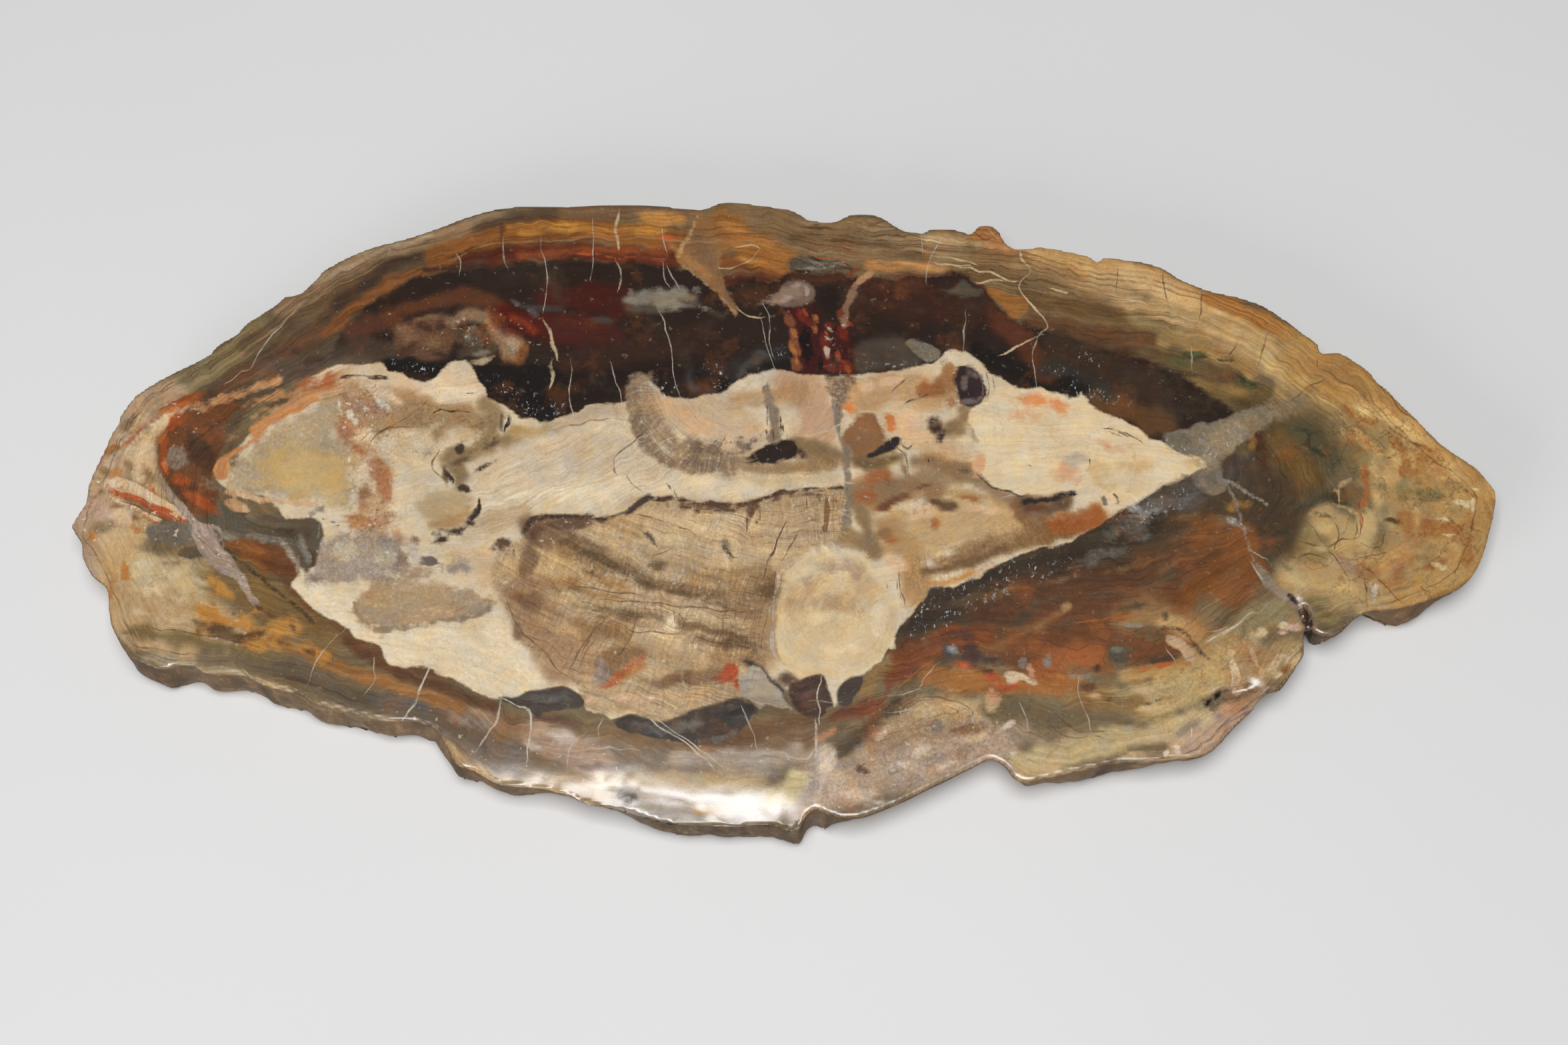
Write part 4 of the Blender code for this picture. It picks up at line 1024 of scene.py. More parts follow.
def lay_right_details():
    """Quartz wedge, grey veins and pockets of the right end."""
    patch("#857967", (1745,655, 15,-8, 52,-13, 60,-18, 40,2, -7,18, -20,12, -8,8, -19,12, -26,31, 3,17,
        5,16, -28,10, -26,-30, 28,-13, -56,-28), 2.4, None, full=1.6, streaks=0.1, bands=0.0, rays=0.0,
        speckle=0.6, pale_flecks=0.3)
    spots("#8A7B62", 9, 1925,612,70,30,-22, -35,18,50,26,-20, full=0.62, bands=0.2)
    spots("#9A8A70", 9, 1830,660,60,34,-35, -18,30,20,20,0, full=0.8)
    spots("#6F695B", 6, 1768,660,36,18,15, 52,62,26,20,0, full=0.9)
    spots("#5A5048", 7, 1750,742,90,26,-28, 40,8,50,30,-20, full=0.8)
    spots("#66615A", 7, 1752,754,60,16,-25, -47,28,40,12,-30, -15,16,30,14,0, -40,34,50,10,-20, rough=0.9,
        full=0.5)
    spots("#8E8D88", 3, 1700,763,16,8,20, 22,8,26,5,-8, rough=0.9, full=0.8)
    spots("#4E423C", 6, 1862,694,50,24,-5, -7,18,30,12,10, full=0.8)
    spots("#8E6A38", 4, 1878,668,12,16,0, -12,88,24,8,10, -18,6,20,8,20, full=0.8)
    patch("#857D72", (1834,718, 12,14, 14,40, 2,23, 12,33), 1.6, (4, 5), full=1.0)
    patch("#94887A", (1873,824, 7,12, 26,32, 30,25, 22,42, -28,-30, -37,-31), 2.4, full=1.2)
    patch("#9A958C", (1834,718, 18,8, 36,21, 12,9), 1.4, (3.5, 3), full=1.0)
    spots("#9A978E", 1.8, 1846,780,26,4,25, 4,7,26,4,25)
    patch("#3E2E2A", (1933,893, 13,11, 11,14, 6,17, 1,27), 2, (6, 11))
    spots("#3A3A28", 2.6, 1791,531,38,11,4, 49,10,22,6,10, 33,32,44,9,22, -11,-11,24,6,30)
    spots("#565B38", 2.6, 1790,529,20,5,0, 88,49,26,5,25, -108,-33,30,7,10, full=1)
    spots("#3D3C28", 2.4, 1962,660,8,24,10, 13,20,30,6,30, -20,-35,34,5,10, -30,155,16,8,0, 60,-25,24,4,20,
        full=1.4)
    # brown lens rimmed in orange, rust lines, a dark slit, and painted highlights of gloss
    spots("#A86B3C", 4, 2046,712,12,26,-20, 6,24,10,30,0, -8,19,16,8,-30, -5,27,5,46,4, full=0.9)
    spots("#C8AC80", 2.4, 2012,728,22,5,-25, -6,14,5,18,-10, 12,20,24,5,20, full=1.0)
    spots("#7F6038", 6, 2028,741,34,20,5, full=0.6)
    spots("#54401F", 2, 2089,783,22,7,5, -4,-95,10,6,0)
    spots("#BDB5A6", 2.2, 2060,886,30,12,75, pale_flecks=1.0)
    spots("#C9A267", 6, 2120,690,40,16,50, 30,10,30,18,20, -65,15,20,40,10, -25,-45,50,14,30,
        120,50,30,14,40, -80,110,60,18,-10, 60,-10,50,16,10, -100,30,40,14,0, rough=1.2, full=0.6)
    spots("#A5733F", 4, 2108,700,14,26,20, -13,-32,26,10,40, 45,72,40,9,5, 40,50,40,10,0, 20,40,20,30,0,
        -60,20,30,8,-20, rough=1.2, full=0.7)
    spots("#8D7A4C", 4, 2140,738,50,16,4, -30,7,24,9,0, rough=1.0, full=0.8)
    # painted highlights: small cream-white spots of gloss on the polished right end
    spots("#DCCBA0", 1.4, 2190,752,26,5,8, 12,6,20,5,20, 8,-1,8,22,10, -53,23,16,4,0, 9,-3,10,4,20,
        4,25,12,3,0, -18,44,14,5,15, 12,4,10,4,0, 51,-117,12,3,20, rough=0.9, full=0.9)
    spots("#7D4A2C", 2.2, 1978,540,4,24,4, 227,200,14,5,30, full=0.9)
    spots("#C5A594", 2, 1940,943,26,12,0, 12,-28,20,6,70, -30,37,12,6,0, pale_flecks=1.0)
    # lower right: eyes, flakes and the open vug
    patch("#4C4446", (1412,968, 22,0, 4,12, -6,10, -16,2), 2.2)
    spots("#939DA2", 3, 1428,977,18,16,10, pale_flecks=1.2)
    spots("#51382F", 6, 1455,985,26,36,-10, 29,5,30,14,10, -44,-35,50,12,-10, full=1.0)
    spots("#AE4E2A", 3, 1442,999,18,8,10, 45,15,16,14,0, 25,17,30,7,-8, -14,-11,6,22,10)
    patch("#D8C0A0", (1502,1010, 30,-1, 14,9, 16,8, -10,5, -16,-7, -14,2, -14,-4), 2.4)
    spots("#BE9070", 4, 1550,1008,12,26,-20, -56,38,20,18,0, rough=1.0, full=0.8)
    spots("#8E867C", 3, 1532,992,16,18,-30, 39,-2,12,16,0, 47,22,30,9,0, full=1.0)
    spots("#4F3A28", 3, 1526,985,5,30,25, 102,-48,60,5,-2, 2,93,24,18,10, 15,-29,10,12,0, 100,-9,50,14,-6,
        -265,16,20,6,0, full=1.2)
    spots("#535044", 4, 1679,981,34,26,0, full=1.2)
    spots("#7B7A6E", 3, 1675,975,18,10,0)
    spots("#A27F56", 4, 1599,910,14,16,0, pale_flecks=0.5)
    patch("#55472F", (1733,958, 5,-9, 30,-5, 28,28, 16,14), 2.4, (6, 4), full=1.4)
    patch("#C2A484", (1748,955, 16,2, 14,9, 17,21, -15,2, -12,-11, -16,-12), 2)
    spots("#63543A", 3, 1706,942,50,9,2, 42,-20,9,14,-20, -26,33,40,8,8, full=1.0)
    spots("#8E8676", 2, 1700,937,50,3,2, full=1.2)
    spots("#B8652C", 2.4, 1735,1002,70,5,-8)
    spots("#8A7E72", 3, 1407,1090,15,22,0, 71,0,12,9,0, full=1.2)
    spots("#8B6A48", 5, 1452,1098,44,14,-12, -102,-43,34,12,-20, full=0.9)
    spots("#84807E", 4, 1292,1118,26,9,-50, rough=0.9, full=0.55)
    patch("#7A6A52", (1802,1052, 60,-32, 38,10, -58,22, -18,10), 3, full=1.2, speckle=0.8, dark_flecks=1.0)
    spots("#A99C84", 1.8, 1814,1062,26,4,10, 44,-38,44,4,-12, 28,0,30,4,14, -28,8,12,16,20, 18,28,14,8,0,
        -185,32,18,6,-10, rough=0.8)
    spots("#1F1712", 1.6, 1828,1042,14,9,-40, -16,10,14,4,-45, 8,10,14,3,10)
    spots("#C79A78", 4, 1850,1062,44,20,-15, full=1.0)
    spots("#A78C88", 2.4, 1830,1076,12,14,0, 40,-10,12,20,20, full=1.2)
    spots("#CDB893", 2.4, 1852,1012,12,44,4, -6,-20,6,20,20, 34,-8,7,34,-20, 11,24,9,20,0, 21,-16,44,7,-42,
        4,18,16,14,0, -23,-60,18,14,0, 33,-10,22,9,0, rough=0.8)
    spots("#D9CDBE", 1.8, 1790,1098,5,20,8, -22,24,12,14,0, -18,8,10,12,0, -238,-40,20,10,-35,
        12,36,20,5,-40, rough=0.9, full=1.0)
    spots("#B09078", 3, 1838,1095,16,14,0, full=0.8)
    spots("#2F2A1C", 1.5, 1728,1051,14,2.4,-12, -65,-3,9,4,-10)
    # rust and olive threads through the foot of the knot
    patch("#7C452A", (1404,962, -59,56, -37,48, -68,17), 5, (12, 6), rough=1.0, full=0.7)
    patch("#4F4230", (1345,1050, -83,84), 5, (14, 10), full=1.0)
    patch("#C08E66", (1228,1112, 22,-14), 4, 10, full=0.9)
    patch("#4A352C", (1182,1036, 18,-14, 28,-9, 10,17, 12,26, -10,6, -10,14, -20,3, -18,-17), 2.4)
    patch("#453A34", (1262,1026, 35,-16, 1,10, -17,31, -13,10, -10,-7), 2.2)
    spots("#5E4232", 6, 1215,1050,34,30,0, full=0.8)


def lay_left_details():
    """The red-brown pocket, quartz vein and lens of the left end."""
    patch("#6E4529", (238,690, 2,-28, 35,-40, 60,-22, 27,2, 6,20, -16,18, -27,50, -7,25, 12,25, -12,28,
        -26,4, -44,-54), 4, stains=0.9, speckle=0.5, streaks=0.4)
    spots("#4F3626", 6, 300,680,60,34,60, 18,-40,40,14,-30, -40,98,34,20,20)
    spots("#9A4F26", 3, 246,680,50,14,95, 54,72,50,14,30, -22,-152,60,16,-25, -16,40,34,12,-40,
        8,82,26,14,20)
    spots("#C49468", 3, 332,597,60,12,-14, 53,-17,60,12,-18, -85,30,14,8,0, rough=0.9, full=1.0)
    spots("#B9652F", 2.2, 270,611,44,9,-22, -20,89,26,8,80, -5,-40,22,8,-50, -13,78,30,8,70)
    spots("#5C5340", 5, 348,640,60,18,-60, -3,50,40,14,-70)
    spots("#8E7F70", 5, 267,691,28,24,0, rough=0.9, full=0.5)
    spots("#7B6A57", 2, 322,732,34,7,10, -4,-10,26,6,20)
    # orange fringe of the heart's left tip
    patch("#C98F5E", (318,706, 4,-12, 40,-26, 18,-10, -8,-13, 13,-13, 45,-24, 50,-16, 2,10, -42,18, -40,22,
        -16,20, -32,20, -7,18, -5,18, -16,-2), 2, streaks=0.7)
    patch("#D2B08A", (345,738, 75,14, 50,5), 2, (10, 5))
    patch("#C6A078", (340,753, 12,-3, 28,14, -20,4, -14,-2), 2)
    # red and cream streaks
    patch("#DCC6A6", (168,722, 22,4, 50,26, 22,18, 10,14), 2, (13, 15))
    patch("#B45A34", (160,728, 85,38, 33,18), 1.8, (5, 11))
    spots("#E0BC84", 1.5, 246,754,26,7,45, 16,18,20,6,40, -36,-27,16,5,30)
    patch("#D9C2A0", (165,746, 75,36), 1.6, 5)
    # grey glass beside the quartz vein, and the vein
    patch("#766E60", (222,792, 28,-10, 38,4, 8,26, -16,4, -18,6, -37,-16), 2.5, streaks=0.5)
    patch("#5E5546", (262,836, 13,-14, 30,-4, 13,16, -33,6), 2)
    patch("#A39285", (240,702, 8,22, 14,20, 18,18, 16,18, 30,8, 8,16, 8,22, 26,42, 10,24, 11,16, -1,12,
        -8,-6, -28,-42, -24,-12, -22,-20, -14,-20, -6,-20, 2,-14, -20,-18, -24,-40), 1.8, pale_flecks=1.1,
        speckle=0.7)
    spots("#B8A79C", 5, 330,828,60,14,55, -22,-26,30,16,40)
    patch("#6E4627", (338,812, 30,-4, 64,18, 18,36, -45,0, -55,-34), 3, streaks=0.5, stains=0.8)
    spots("#8A5C2C", 4, 365,822,40,9,15, 20,28,40,7,30, full=0.8)
    spots("#B9853F", 5, 320,880,40,9,45, 52,45,46,12,-20, 28,15,50,10,10, 30,10,50,14,25, -35,15,40,9,-15,
        60,7,50,10,20, -115,-42,24,7,0, -30,-15,30,8,20, rough=1.2, full=0.9)
    spots("#5C452A", 4, 410,925,40,8,30, -40,25,40,8,-10, 65,18,30,6,20, -110,-23,40,8,0, rough=1.1,
        full=0.9)
    patch("#A79A88", (405,812, 23,10, 24,40), 3, 5)
    patch("#453823", (322,796, 20,30, 30,30, 48,34, 50,45), 2.4, (4, 6))
    spots("#837E74", 4, 372,806,80,9,8, 83,16,40,9,70)


def lay_bottom_details():
    """Dark lenses, pits and flakes under the heart."""
    patch("#4A423B", (745,1052, 20,-6, 35,-10, 50,0, 27,19, -7,11, -45,2, -20,7, -15,-13), 2)
    patch("#5C5650", (800,1048, 50,2), 5, 10)
    patch("#3F3933", (918,1083, 12,-6, 20,-4, 15,3, 20,8, 25,-4, 20,-9, 55,-19, 23,-5, 14,7, 6,16, -10,18,
        -18,15, -50,16, -50,-8, -55,-11), 2)
    spots("#6F6C66", 5, 1010,1092,50,12,-4, 50,-12,60,10,-18, 40,-14,24,16,0, -15,36,30,6,-15, rough=1.0,
        full=0.9)
    patch("#5B514B", (955,1088, 20,4), 5, 12)
    patch("#302A26", (1060,1075, 65,-9), 6, 14)
    patch("#5E564E", (560,1045, 80,17), 6, 17)
    patch("#8B8377", (680,1078, 48,14), 6, 13)
    patch("#4E3A28", (930,1193, 22,3), 3, 11)
    patch("#B79766", (1042,1213, 18,2, 18,-2), 2.5, 9)
    patch("#5E4A34", (1290,1153, 9,4), 3, 8)


def lay_cracks():
    """Healed cracks and fine drawn lines."""
    for points in (
        (810,358, 2,17, 6,25, 2,30, -2,20, -3,15), (855,540, 0,40, 1,25, 4,15, 3,20),
        (917,540, 1,15, 4,15, 6,20, 3,15, 1,25), (988,465, 10,20, 5,25, 5,30, 4,25, 6,20, 5,13),
        (1140,475, 8,25, 7,30, 5,25), (1145,455, 10,20, 3,45, 2,15), (890,330, 3,30, -3,20, -3,40),
        (925,390, 8,15, 0,15, -5,15), (753,358, 3,27, 4,15), (683,375, 5,15, 2,15, -3,7),
        (995,395, 1,15, 6,18), (1003,400, 7,15, 8,15),
        (1526,376, 4,14, 11,12, 2,10, -13,8, -4,10, 7,15, 14,13, 13,14, 10,18, -10,10, -5,15, -5,15, 2,20,
            3,35), (1562,503, -22,7, -20,10, -20,13), (1450,467, -2,28, -2,30), (1850,1000, -3,15, -2,15),
    ):
        vein(WHITE, points, 2.2, 0.6)
    vein(WHITE, (1816,964, 34,-18, 12,-12, 15,-13), 4.6, 1.0)
    vein(WHITE, (645,1000, -10,15, -13,40, -17,23), 3.4, 0.9)
    vein(WHITE, (752,1052, -16,43, -24,35), 3.4, 0.7)
    vein(WHITE, (755,1050, 20,6, 20,6, -1,28, -1,30, -4,22), 4, 0.9)
    vein(WHITE, (975,1080, 60,40, 33,32), 3.4, 0.9)
    vein(WHITE, (985,1078, 70,50, 25,22), 2.4, 0.8)
    vein(WHITE, (850,1145, 6,-20, 12,-17, 12,-10), 3, 0.6)
    vein(WHITE, (880,1121, 80,3), 2.4, 0.6)
    vein(WHITE, (1877,829, 21,11), 2.6, 1.0)
    vein(WHITE, (1876,845, 16,25), 2.6, 0.9)
    vein(WHITE, (1818,952, 10,-2, 14,-6), 2.2, 0.8)
    vein(WHITE, (1228,1011, 1,15, -4,16, 3,44), 2.6, 1.0)
    vein(WHITE, (1222,1080, 4,70), 4, 0.8)
    vein(WHITE, (1254,1126, -8,14, -18,50), 6, 0.6)
    vein(WHITE, (1212,1053, 50,0), 2.2, 0.35)
    vein(WHITE, (1333,1068, 59,-6), 2, 0.6)
    vein(WHITE, (1750,973, 17,25), 2, 0.6)
    vein(WHITE, (1534,1055, 7,43), 2, 0.6)
    for points in (
        (990,340, 3,20, 7,20), (335,575, 25,-13, 20,-17, 15,-25, 15,-20, 20,-20, 25,-25),
        (520,940, -20,15, -10,15, -12,15, -8,15, -10,30), (558,985, 2,20, 2,15, -14,20),
        (905,1078, -5,12, -3,15), (1115,1060, 3,20, 10,20, 5,25),
        (1412,993, -11,8, -8,11, -7,8, -1,8, -11,9, -24,4, -15,2), (1618,1015, 2,35, 10,25, 5,20, 13,31),
        (1383,350, 2,28), (1412,355, -12,25, -7,20, -3,25), (1790,520, -5,20, 3,17),
        (1000,638, -25,12, -20,10), (1500,750, 20,-5, 30,-3, 30,-5),
    ):
        vein(WHITE, points, 2.1, 0.6)
    for points in (
        (815,478, 7,17, 8,25, 6,18), (826,540, -4,10, 7,15, -1,15), (928,318, -3,27, 1,27),
    ):
        vein(CREAMY, points, 5.5, 0.8)
    for points in (
        (1080,400, 20,0, 20,-7, 17,-17), (1100,370, 25,-4, 15,8), (1105,464, 13,10, 27,1),
        (1048,708, 42,9, 60,-2, 65,-9), (860,700, 40,2, 60,-2, 40,0), (760,745, 15,-7, 17,-10),
        (755,765, 35,-20, 40,-15), (690,815, 30,-17, 12,-10), (715,825, 20,-13), (160,728, 40,14, 32,16),
        (365,1005, 62,31, 46,23, 57,11, 69,16),
    ):
        vein(CREAMY, points, 3, 0.8)
    for points in (
        (1182,650, 22,2, 26,-4, 20,-8, 14,-8, 14,-6), (1262,722, 18,0),
        (1278,626, 10,-6, 17,-2, 15,2, 7,12, 7,18, 2,10), (1232,918, 8,-5), (1400,382, 25,2, 37,13),
        (1402,392, 28,6, 25,2), (1440,402, 30,5, 15,3, 15,10, 22,4), (1464,424, 16,0, 22,1),
        (1526,376, 6,16, 8,10), (1486,346, 9,9), (1533,445, 14,13, 15,16), (1500,533, 20,-13, 20,-9, 20,-7),
        (1575,435, 25,7), (1690,448, 30,7),
    ):
        vein(CREAMY, points, 3.6, 0.9)
    # dark threads in the heart
    for points in (
        (920,695, 2,-9, 13,-11, 15,-10, 15,-15), (722,758, -4,15, -13,10), (1355,608, 20,-8, 15,-8),
        (1464,712, 14,11, 22,12, 22,8, 20,3), (1340,588, 10,-8, 8,-10), (510,568, 20,-6, 30,-1, 18,2),
        (650,622, 15,-5, 25,3, 15,0), (1545,700, 1,0), (920,697, 0,15), (700,588, 12,0),
    ):
        vein(BLACK, points, 3.2, 0.85)
    for points in (
        (830,645, 40,-8, 35,-5, 30,-2), (540,660, 20,-12, 30,-8, 40,0), (550,668, 20,-23, 30,-13, 40,-27),
        (665,665, -15,35, 15,20), (940,715, 10,15, 15,10), (1000,727, 5,10), (1010,740, 3,10),
        (1180,780, -20,50, -15,40), (1200,800, -12,20, -13,20), (1178,782, -10,28, -18,40),
        (960,772, 40,13, 35,12), (965,797, 13,13, 7,8), (1085,815, 10,15, 10,10), (980,832, 22,-10),
        (1020,920, 8,12), (1012,918, 1,14), (890,850, -5,20), (895,935, -10,20, -7,20),
        (860,1000, 20,-40, 25,-25), (925,990, 20,-30, 10,-25), (950,945, 35,5, 45,5),
        (1050,958, 50,10, 45,12), (905,900, 55,7, 80,5, 90,3), (860,880, 70,10, 45,8),
        (1345,855, 7,25, 6,25), (1375,600, 5,-10), (1478,560, 5,20, -3,20), (1488,565, 4,20),
        (1345,672, 17,18, 3,20), (1662,642, 14,8, 14,6), (1664,649, 16,7), (1682,650, 14,6, 14,6),
        (1655,640, 13,5), (1290,1160, 0,-8, 7,-4), (1200,1226, 18,-13, 17,2, 27,17), (1350,668, 8,8, 8,-8),
        (1385,1046, 40,2, 25,10, 12,14, -10,10), (1420,1060, 20,8, 0,10), (1580,1068, 12,14, 28,16, 40,0),
        (1570,1085, 30,20, 50,1), (1700,900, 12,15), (760,898, 15,37, 20,25, 25,25, 30,30, 30,20),
        (1675,400, -1,30), (1745,410, 7,40), (1805,440, -5,40), (1900,502, -5,28, -10,25),
        (1855,515, -10,13, -5,7), (2043,853, 19,9, 13,14, 20,19, 13,8), (1958,782, 14,13, 8,17, 15,6),
        (1985,770, 15,15, 10,20, -5,15), (1945,812, 20,6, 35,0, 15,-10, 25,-2), (2030,770, 6,20, -4,22),
        (1990,820, 12,10, 8,15, 10,20), (2035,842, 25,-10, 20,-4), (2045,815, 25,7, 5,-17),
        (1940,838, 25,-6, 25,6), (2043,860, 5,25, 2,27), (2085,640, 15,15, 30,13),
        (1940,600, 20,-15, 25,-15), (2060,560, 30,40, 30,30), (345,765, 15,7, 18,-7),
        (200,935, 50,10, 70,10, 70,15), (195,965, 55,10, 60,10), (245,700, 17,35, 26,35),
    ):
        vein(BROWN, points, 2.8, 0.75)
    for x, top, foot, lean in (
        (1178, 782, 868, 34), (1170, 800, 880, 24), (1158, 850, 960, 30), (1148, 870, 985, 34),
        (1136, 900, 990, 26), (1166, 860, 930, 12), (1122, 905, 985, 22), (1128, 760, 790, 3),
        (1152, 905, 990, 16), (1108, 880, 960, 14), (935, 900, 985, 40), (905, 935, 1000, 34),
        (1090, 900, 960, 10), (950, 905, 960, 20),
    ):
        vein(BROWN, ((x, top), (x - lean * 0.45, (top + foot) / 2), (x - lean, foot)), 2.2, 0.5)
    for inset, much in ((12, 0.35), (20, 0.5), (30, 0.35), (42, 0.4), (54, 0.3)):
        arc = [(1068 - (118 - inset) * np.cos(t), 588 + (116 - inset) * np.sin(t))
               for t in np.linspace(0.05, 1.5, 9)]
        vein(BEIGE, arc, 2, much)
    vein(ORANGY, (1958,850, 14,6, 16,-4), 3, 0.7)
    vein(ORANGY, (2012,606, 16,16, 22,8), 4, 0.6)
    for points in (
        (1465,350, 10,8, 23,-8), (868,386, 37,1, 45,3, 50,0), (1325,412, 45,2, 62,-6),
        (2040,755, 2,20, 0,25), (180,752, 35,14, 40,18), (600,350, 20,2, 20,-7), (1210,362, 30,4, 40,6),
    ):
        vein(REDDISH, points, 3, 0.8)
    for points in (
        (860,357, 40,-1, 40,-6), (1090,352, 40,6, 35,4), (1210,380, 40,8, 35,10),
        (1350,1030, 25,-22, 25,-18), (1610,935, 70,-10, 60,-10), (1705,1004, 30,-3, 33,-5),
    ):
        vein(ORANGY, points, 3.2, 0.8)
    # growth lines that follow the bark
    for tone, shift, first, last in (
        (BROWN, 20, 52, 66), (BEIGE, 28, 52, 64), (BROWN, 34, 8, 16), (BROWN, 44, 10, 15),
        (BEIGE, 52, 9, 15), (BROWN, 26, 16, 22), (BROWN, 34, 16, 21), (BROWN, 18, 17, 23),
        (BEIGE, 42, 17, 22), (BROWN, 30, 24, 31), (BEIGE, 40, 25, 31), (BROWN, 16, 2, 9), (BEIGE, 30, 2, 8),
        (BROWN, 40, 3, 9), (BROWN, 55, 4, 9), (BROWN, 14, 32, 37), (BEIGE, 24, 32, 37), (BEIGE, 30, 41, 45),
    ):
        line = np.array([BARK_LINE[k % len(BARK_LINE)] for k in range(first, last + 1)], float)
        way = np.gradient(line, axis=0)
        way /= np.hypot(*way.T)[:, None]
        inner = line + shift * np.column_stack((-way[:, 1], way[:, 0]))
        vein(tone, [tuple(p) for p in inner], 3.4, 0.55)


def lay_glitter():
    """Where the quartz catches the light in small glints."""
    for much, points, width in (
        (0.9, (590,551, 35,2, 33,5), 14), (0.8, (745,575, 25,15, 30,10), 26),
        (0.7, (780,612, 35,6, 30,-6), 16), (1.0, (1000,575, 5,15), 24), (1.0, (1062,553, 18,2), 16),
        (0.9, (1070,572, 15,3), 16), (0.6, (1165,530, 10,-2), 14), (0.8, (1245,495, 3,35), 16),
        (0.6, (1290,545, 50,2, 45,-2), 10), (0.7, (1385,520, 10,10), 14), (0.9, (1620,530, 30,12), 16),
        (0.7, (1585,552, 27,10), 14), (0.7, (1600,580, 40,12, 50,8), 16), (1.0, (1508,850, 12,12), 22),
        (1.0, (1545,850, 15,12), 22), (0.9, (1398,888, 10,4), 20), (0.8, (1360,930, 40,-5, 20,0), 40),
        (0.5, (1440,900, 60,-20), 40), (0.6, (1370,950, 30,-5), 20), (0.5, (1550,850, 50,-10), 26),
        (1.0, (545,605, 25,-5, 15,15), 24), (0.9, (500,625, 20,10, 10,-10), 26), (0.6, (560,685, 20,5), 20),
        (0.5, (545,700, 5,30, -5,20), 18), (0.7, (1292,730, 6,15), 14), (0.5, (1210,735, 25,3), 12),
        (0.6, (510,810, 40,20, 30,20), 50), (0.5, (640,620, 25,5), 14), (0.5, (700,505, 12,10), 18),
        (0.6, (1230,742, 30,0), 10), (0.5, (1760,690, 40,-10, 50,-30), 40), (0.6, (1690,775, 70,-30), 40),
        (0.8, (1842,782, 13,8), 16), (0.5, (2055,875, 11,17), 12), (0.6, (568,385, 32,-13), 8),
        (0.5, (880,852, 80,10, 80,0), 18), (0.7, (930,800, 30,30, 30,20), 26),
        (0.4, (1360,1150, 60,-10), 50),
    ):
        glitter(much, points, 5, width)


